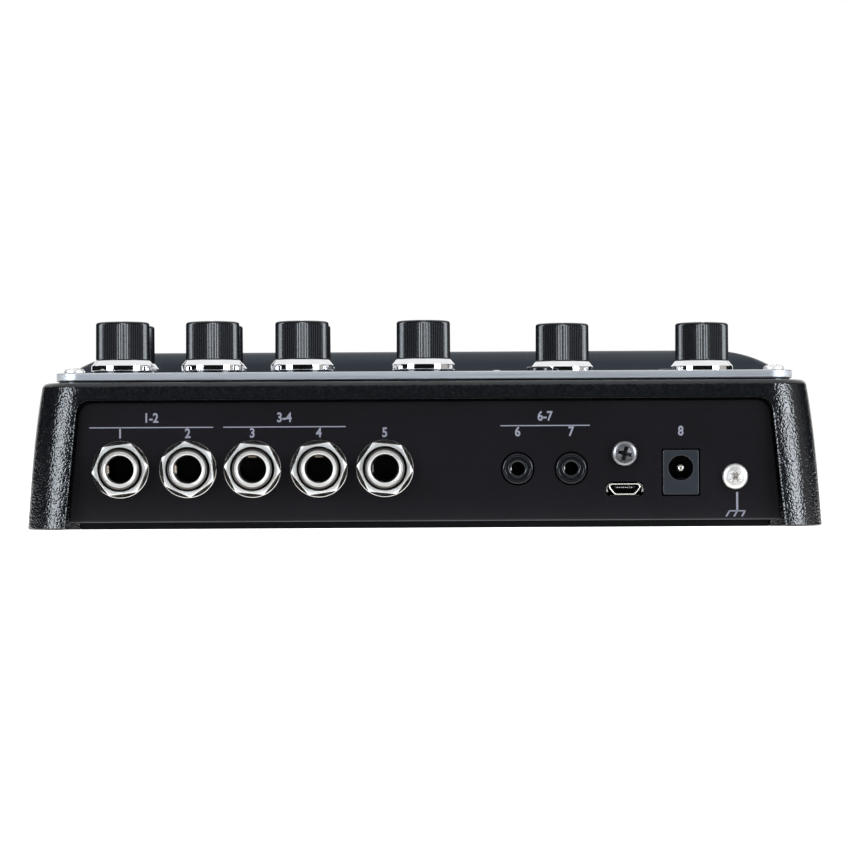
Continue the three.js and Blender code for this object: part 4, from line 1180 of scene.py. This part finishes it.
def make_jack(i):
    middle = centre_mm(f"jack_nut_{i}")
    low, high = box_mm(f"jack_{i}")
    front = high.y - PANEL_Y
    place = on_rear(middle)
    make_jack_nose(i, front, place)
    well = drill(place, JACK_BORE - 0.3, 23, 1, 64)
    make_body(f"jack_{i}_body", (high.x - low.x) / 2, JACK_BODY_FOOT, -1.5, 0.8, place, well)
    centre = (-3.75, front - CONTACT_DEPTHS[i - 1] - CONTACT_CURL)
    curls = zip(arc(centre, CONTACT_CURL, 96, 52, 10), arc(centre, CONTACT_CURL - 0.25, 96, 52, 10))
    rows = [[(x, -0.95, z), (x, 0.95, z), (x2, 0.95, z2), (x2, -0.95, z2)] for (x, z), (x2, z2) in curls]
    leaf = stacked(f"jack_{i}_contact", rows, place @ turned(CONTACT_TURNS[i - 1]))
    # The fifth socket's contact sits deepest and gets the dark metal as painted shade; the others are bronze.
    dress(leaf, dark_metal_and_painted_shade if i == JACKS[-1] else spring_bronze, "nickel")
    make_jack_thread(i, front, place)
    bore = JACK_NOSE + GAP
    make_washer(f"jack_{i}_washer", bore, WASHER_RADIUS, 0.02, WASHER_THICKNESS, 0.12, NUT_SEGMENTS, place,
                bright_nickel)
    make_nut(f"jack_{i}_hexagon", NUT_CORNERS, bore, WASHER_THICKNESS, NUT_FACE,
             on_rear(middle, NUT_TURNS[i - 1]), f"jack_nut_{i}", well=(NUT_WELL_RADIUS, NUT_WELL))


def mini_centre(node):
    """Centre of the nose: its front is the highest stretch of the node's depth."""
    points = [v.co for v in frame["nodes"][node].data.vertices]
    front = max(p.y for p in points)
    found = [p for p in points if p.y > front - 0.0002]
    low = Vector((min(p.x for p in found), 0, min(p.z for p in found)))
    high = Vector((max(p.x for p in found), 0, max(p.z for p in found)))
    return (low + high) / 2 / METRES


def make_mini_jack(node):
    place = on_rear(mini_centre(node))
    bore, nose = MINI_BORE, MINI_NOSE
    collar = lathe(f"{node}_nose", [
        (bore, -9), (nose - 0.4, -9), (nose, -8.6), *arc((nose - 0.5, 0.0), 0.5, 0, 80, 10),
        (3.1, 0.49), (2.98, 0.44), (2.9, 0.3), (2.86, 0.1), (2.5, 0.06),
        *arc((2.15, -0.02), 0.2, 60, 120, 4), (1.88, 0.06), (bore - 0.1, -0.1),
    ], 80, place)
    dress(collar, gloss_black, "gloss_black", node, smooth=40)
    pill = [(0, -0.62), (0.2, -0.6), (0.36, -0.45), (0.36, 0.45), (0.2, 0.6), (0, 0.62)]
    spring = lathe(f"{node}_contact", pill, 24, place @ moved(-1.78, 0.05, -0.75) @ turned(90, "X"))
    dress(spring, zinc, "nickel")
    make_body(f"{node}_body", MINI_HALF, -14.5, -9.1, 0.6, place)


def port_outline(grow):
    half, top, foot = 3.84 + grow, 1.36 + grow, -1.34 - grow
    cut_off = 1.3
    side = foot + 1.25 * cut_off
    return mirrored(5, (half - cut_off, foot, 1.0), (half, side, 0.75), (half - 0.08, top, 0.85))


def port_shell(name, levels, place):
    """A shell that goes round the port's outline at each pair of growth and depth."""
    return stacked(name, [level(port_outline(grow), z) for grow, z in levels], place)


def port_flare(side, place):
    """The bent lip at one end of the port."""
    centre = side * 2.86
    rows = []
    for k in range(11):
        angle = radians(-28 + 112 * k / 10)
        c, s = cos(angle) * side, sin(angle)
        corners = ((1.28, -0.75), (1.66, -0.5), (1.66, -0.3), (1.28, -0.55))
        rows.append([(centre + radius * c, radius * s, z) for radius, z in corners])
    return stacked("flare", rows, place)


def make_usb_port():
    place = on_rear(port_centre())
    wall = PORT_WALL
    shell = port_shell("usb_shell", [(0.0, -6.0), (0.0, -0.14), (-0.03, -0.05), (-0.12, -0.01), (-0.2, -0.05),
                                     (-wall, -0.14), (-wall, -5.4)], place)
    dress(shell, pin_nickel, "nickel", "usb_port")
    # A black sleeve inside the metal shell: painted shade for the port's deep interior.
    shade_lining = port_shell("usb_lining", [(-wall - 0.02, -5.3), (-wall - 0.02, -0.4), (-wall - 0.1, -0.32),
                                       (-wall - 0.1, -5.2)], place)
    dress(shade_lining, soft_black, "gloss_black")
    flares = [port_flare(side, place) for side in (-1, 1)]
    flares.append(bevelled_block("flare", 3.5, 0.13, -0.7, -0.4, 0.1, 0.05, place @ moved(0, -1.62)))
    dress(joined("usb_flare", flares), dark_metal_and_painted_shade, "nickel")
    tongue = bevelled_block("usb_tongue", 2.5, 0.28, -5.3, -0.7, 0.12, 0.08, place @ moved(0, 0.5))
    dress(tongue, soft_black, "gloss_black")
    contacts = [bevelled_block("contact", 0.13, 0.11, -5.0, -0.6, 0.05, 0.03, place @ moved(x, 0.38))
                for x in (-1.8 + 0.49 * k for k in range(8))]
    dress(joined("usb_contacts", contacts), nose_nickel, "nickel")


def make_dc_jack():
    low, high = box_mm("dc_jack")
    half = (high - low) / 2
    block = bevelled_block("power_block", half.x, half.z, low.y - PANEL_Y, 0, 0.45, 0.35,
                           on_rear((low + high) / 2))
    place = on_rear(centre_mm("dc_pin"))
    mouth = near(DC_BORE, 0, (0, -DC_DEPTH), (0, -0.35), (0.06, -0.12), (0.22, 0), (0.22, 1))
    cut(block, [lathe("well", [(0, -DC_DEPTH), *mouth, (0, 1)], 80, place)])
    dress(block, slate, "moulded_grey", "dc_jack", smooth=28)
    tip = box_mm("dc_pin")[1].y - PANEL_Y
    post = lathe("power_pin", [
        (0, -11.6), (0.95, -11.6), *near(0, tip, (0.95, -1.3), (0.72, -0.4)),
        *arc((0.5, tip - 0.22), 0.22, 0, 180, 16), *near(0, tip, (0.27, -0.6), (0.27, -1.8), (0, -1.9)),
    ], 48, place)
    dress(post, pin_nickel, "nickel", "dc_pin")
    rows = []
    for k in range(9):
        z = -9.0 + 0.9 * k
        y = -DC_BORE + 0.25 + 0.55 * sin(pi * k / 8)
        rows.append([(-0.8, y, z), (0.8, y, z), (0.8, y + 0.18, z), (-0.8, y + 0.18, z)])
    dress(stacked("power_contact", rows, place), bright_nickel, "nickel")


# Footswitches

def make_footswitch(number):
    place = switch_place(number)
    name = f"footswitch_{number}"
    bore, foot, rise = SWITCH_BORE, -2.9, SWITCH_RISE
    bush = lathe(f"{name}_bush", [
        (bore, foot), (SWITCH_BUSH - 0.2, foot), *thread_profile(SWITCH_BUSH, 0.0, 2.5, 0.5, 0.18),
        *near(SWITCH_BUSH, rise, (-0.05, -0.18), (-0.3, 0)),
        *near(bore, rise, (0.6, 0), (0.2, -0.1), (0, -0.35)),
    ], 80, place)
    dress(bush, bright_nickel, "nickel", f"footswitch_body_{number}", smooth=28)
    make_body(f"{name}_case", 7.5, -17.8, foot, 0.8, place, drill(place, bore, 14, 1, 48), slot="nickel")
    make_nut(f"{name}_hexagon", 16.5, SWITCH_BUSH + 0.15, 0.65, 2.1, place @ turned(11 * number))
    make_washer(f"{name}_washer", SWITCH_BUSH + 0.1, 8.9, 0.03, 0.6, 0.1, 80, place, satin_nickel)
    seat = rise + GAP + SWITCH_TRAVEL
    top = seat + 1.3
    button = lathe(f"{name}_button", [
        (0, -11.5), (3.3, -11.5), (3.5, -11.3), (3.5, seat),
        *near(0, seat, (4.85, 0), (5.0, 0.14), (5.0, 0.6), (4.94, 0.85), (4.72, 1.08)),
        *near(0, top, (4.35, -0.08), (3.4, 0.09), (2.0, 0.22), (0, 0.28)),
    ], 80, place)
    dress(button, chrome, "chrome", f"footswitch_cap_{number}", body=name)


# Printing

PRINT_LIFT = 0.012
LABEL_SIZE = 3.2


def text_mesh(words, size, x, y, matrix, squeeze=0.86):
    """Narrow printed characters centred on a place of a frame."""
    curve = bpy.data.curves.new("words", "FONT")
    curve.body = words
    curve.size = size
    curve.align_x = "CENTER"
    curve.align_y = "CENTER"
    curve.extrude = 0.008
    curve.offset = 0.026 * size
    curve.resolution_u = 4
    shape = added("words", curve)
    bpy.context.view_layer.update()
    graph = bpy.context.evaluated_depsgraph_get()
    mesh = bpy.data.meshes.new_from_object(shape.evaluated_get(graph))
    bpy.data.objects.remove(shape)
    points = [(v.co.x * squeeze, v.co.y, v.co.z) for v in mesh.vertices]
    faces = [list(p.vertices) for p in mesh.polygons]
    return mesh_object("words", points, faces, matrix @ moved(x, y, PRINT_LIFT))


def strip(start, end, width, matrix):
    """A thin printed stroke between two places."""
    start, end = Vector(start), Vector(end)
    along = end - start
    side = Vector((-along.y, along.x)).normalized() * width / 2
    corners = [start - side, end - side, end + side, start + side]
    return stacked("stroke", [level(corners, z) for z in (0.004, 0.02)], matrix)


def make_rear_print():
    """Group lines, plain numbers over the sockets and the chassis symbol."""
    rear = on_rear(Vector())
    line_z, title_z, label_z = 24.65, 26.85, 23.1
    groups = ((-81.3, -51.25, -66.3, "1-2"), (-48.8, -19.1, -34.0, "3-4"), (18.4, 40.1, 29.2, "6-7"))
    parts = [strip((start, line_z), (end, line_z), 0.26, rear) for start, end, _, _ in groups]
    parts += [text_mesh(words, LABEL_SIZE, x, title_z, rear) for _, _, x, words in groups]
    middles = [centre_mm(f"jack_nut_{i}") for i in JACKS]
    middles += [mini_centre(node) for node in MINI_NODES] + [centre_mm("dc_pin")]
    for middle, words in zip(middles, "12345678"):
        parts.append(text_mesh(words, LABEL_SIZE, -middle.x, label_z, rear))
    x, top, bar = 0.45 - centre_mm("ground_screw").x, 8.3, 3.72
    parts.append(strip((x, top), (x, bar), 0.5, rear))
    parts.append(strip((x - 2.0, bar), (x + 2.05, bar), 0.3, rear))
    for shift in (-1.9, 0.0, 1.9):
        parts.append(strip((x + shift, bar), (x + shift - 0.78, bar - 1.35), 0.38, rear))
    dress(joined("rear_print", parts), ink, "panel_satin", smooth=0)


def make_dial_print():
    """Ticks round each knob with plain numbers."""
    parts = []
    for name in knob_names:
        place = knob_place(name)
        limit = joints[name]["range_deg"][1]
        selector = limit > 150
        steps = 11 if selector else 10
        shown = {k: str(k + 1) for k in range(12)} if selector else {0: "0", 5: "5", 10: "10"}
        angles = [radians(90 + limit - 2 * limit * k / steps) for k in range(steps + 1)]
        rays = [(cos(angle), sin(angle)) for angle in angles]
        for c, s in rays:
            parts.append(strip((8.5 * c, 8.5 * s), (9.5 * c, 9.5 * s), 0.24, place))
        for k, words in shown.items():
            parts.append(text_mesh(words, 1.9, 10.75 * rays[k][0], 10.75 * rays[k][1], place))
    dress(joined("dial_print", parts), dial_ink, "plate_aluminium", smooth=0)


make_housing()
make_deck()
make_plate()
make_seal()
make_rear_panel()
make_cover()
for knob in knob_names:
    make_knob(knob)
for node in ("memory_button", "tape_button"):
    make_button(node)
make_lenses()
make_screws()
for number in JACKS:
    make_jack(number)
for node in MINI_NODES:
    make_mini_jack(node)
make_usb_port()
make_dc_jack()
for number in SWITCHES:
    make_footswitch(number)
make_rear_print()
make_dial_print()
for node in ("control_board", "jack_board"):
    piece = frame["nodes"][node]
    piece.data.materials.clear()
    piece.data.materials.append(board)


# Stage

FLOOR_HALF = 6000
SHEET_FOOT = 0.1
WHITE = (1, 1, 1, 1)


def seen_directly(tree, otherwise, directly):
    """A strength for camera, glossy and transmission rays, and another for the rest."""
    path = tree.nodes.new("ShaderNodeLightPath").outputs
    rays = {0: path["Is Camera Ray"], 1: path["Is Glossy Ray"]}
    first = add_node(tree, "ShaderNodeMath", rays, "MAXIMUM")
    both = add_node(tree, "ShaderNodeMath", {0: first.outputs[0], 1: path["Is Transmission Ray"]}, "MAXIMUM")
    shares = {0: both.outputs[0], 1: directly - otherwise, 2: otherwise}
    return add_node(tree, "ShaderNodeMath", shares, "MULTIPLY_ADD").outputs[0]


def make_floor():
    size = FLOOR_HALF
    floor = mesh_object("floor", [(-size, -size, 0), (size, -size, 0), (size, size, 0), (-size, size, 0)],
                        [[0, 1, 2, 3]], moved(0, 0, -0.05))
    material, shader = new_material("pale_floor", shade(0.85), 0.9, specular=0.0)
    tree = material.node_tree
    glow = add_node(tree, "ShaderNodeEmission", {"Color": WHITE, "Strength": seen_directly(tree, 0.0, 0.74)})
    total = add_node(tree, "ShaderNodeAddShader", {0: shader.outputs[0], 1: glow.outputs[0]})
    feed(tree.nodes["Material Output"], {"Surface": total.outputs[0]})
    floor.data.materials.append(material)


def make_world():
    world = bpy.data.worlds.new("white_surround")
    world.use_nodes = True
    tree = world.node_tree
    feed(tree.nodes["Background"], {"Color": WHITE, "Strength": seen_directly(tree, 0.35, 1.0)})
    bpy.context.scene.world = world


def sheet(name, points, faces, material):
    """A sheet of the stage that shiny surfaces alone see."""
    piece = mesh_object(name, points, faces)
    piece.data.materials.append(material)
    piece.visible_camera = False
    piece.visible_diffuse = False
    piece.visible_transmission = False
    piece.visible_shadow = False


def curtain(name, lower, upper, material):
    """A sheet between two rows of points."""
    count = len(lower)
    faces = [[k, k + 1, count + k + 1, count + k] for k in range(count - 1)]
    sheet(name, lower + upper, faces, material)


def make_dark_surround():
    """The dark half of the studio behind the camera, with its floor."""
    radius, top, side_top, front_angle, half_angle, steps = 2300, 1800, 1000, 110, 150, 36
    lower = []
    upper = []
    for k in range(steps + 1):
        turn = -half_angle + 2 * half_angle * k / steps
        x, y = radius * sin(radians(turn)), radius * cos(radians(turn))
        lower.append((x, y, SHEET_FOOT))
        upper.append((x, y, top if abs(turn) < front_angle else side_top))
    cloth = new_material("dark_cloth", shade(0.01), 1.0, specular=0.0)[0]
    curtain("dark_surround", lower, upper, cloth)
    start = 78
    corners = [(-radius, start), (radius, start), (radius, radius), (-radius, radius)]
    sheet("dark_ground", [(x, y, SHEET_FOOT) for x, y in corners], [[0, 1, 2, 3]], cloth)


def softbox(name, azimuth, elevation, distance, width, height, energy):
    """An area lamp, where azimuth is from the rear view's axis towards -X and sizes are in metres."""
    lamp = bpy.data.lights.new(name, "AREA")
    lamp.shape = "RECTANGLE"
    lamp.size = width
    lamp.size_y = height
    lamp.energy = energy
    holder = added(name, lamp)
    a, e = radians(azimuth), radians(elevation)
    direction = Vector((-sin(a) * cos(e), cos(a) * cos(e), sin(e)))
    holder.location = direction * distance + Vector((0, 0, 0.02))
    holder.rotation_euler = direction.to_track_quat("Z", "Y").to_euler()
    holder.visible_glossy = False


def reflector(name, start, end, low, high, colour, strength):
    """A bright curved sheet between two azimuths and two elevations."""
    radius, steps = 1500, 8
    angles = [radians(start + (end - start) * k / steps) for k in range(steps + 1)]
    rows = []
    for elevation in (low, high):
        height = radius * tan(radians(elevation)) + 20
        rows.append([(-radius * sin(angle), radius * cos(angle), height) for angle in angles])
    material, shader = new_material(name, shade(0.0), 1.0, specular=0.0)
    feed(shader, {"Emission Color": (*colour, 1), "Emission Strength": strength})
    curtain(name, *rows, material)


def make_lights():
    softbox("softbox_left", -45, 24, 1.3, 0.6, 0.6, 11)
    softbox("softbox_right", 52, 24, 1.3, 0.6, 0.6, 15)
    softbox("softbox_top", 0, 82, 1.4, 1.4, 1.0, 20)
    reflector("glow_left", -57, -35.5, -0.6, 25, (0.86, 0.93, 1.0), 15.5)
    reflector("glow_right", 40.5, 62, -0.6, 25, (0.88, 0.94, 1.0), 17)
    reflector("glow_dim", 62, 98, -0.6, 30, (1.0, 0.96, 0.92), 0.5)


def make_camera():
    photo_pixels = 850
    data = bpy.data.cameras.new("camera")
    data.lens = 227.9
    data.sensor_width = 36
    data.shift_x = 0.5 / photo_pixels
    data.shift_y = 3.0 / photo_pixels
    data.clip_start = 0.05
    data.clip_end = 50
    camera = added("camera", data)
    camera.location = (0, HALF_DEPTH * METRES + 1.3, 0.0242)
    camera.rotation_euler = (radians(90), radians(0.305), radians(180))
    bpy.context.scene.camera = camera


make_floor()
make_world()
make_dark_surround()
make_lights()
make_camera()
bpy.context.scene.view_settings.view_transform = "Standard"
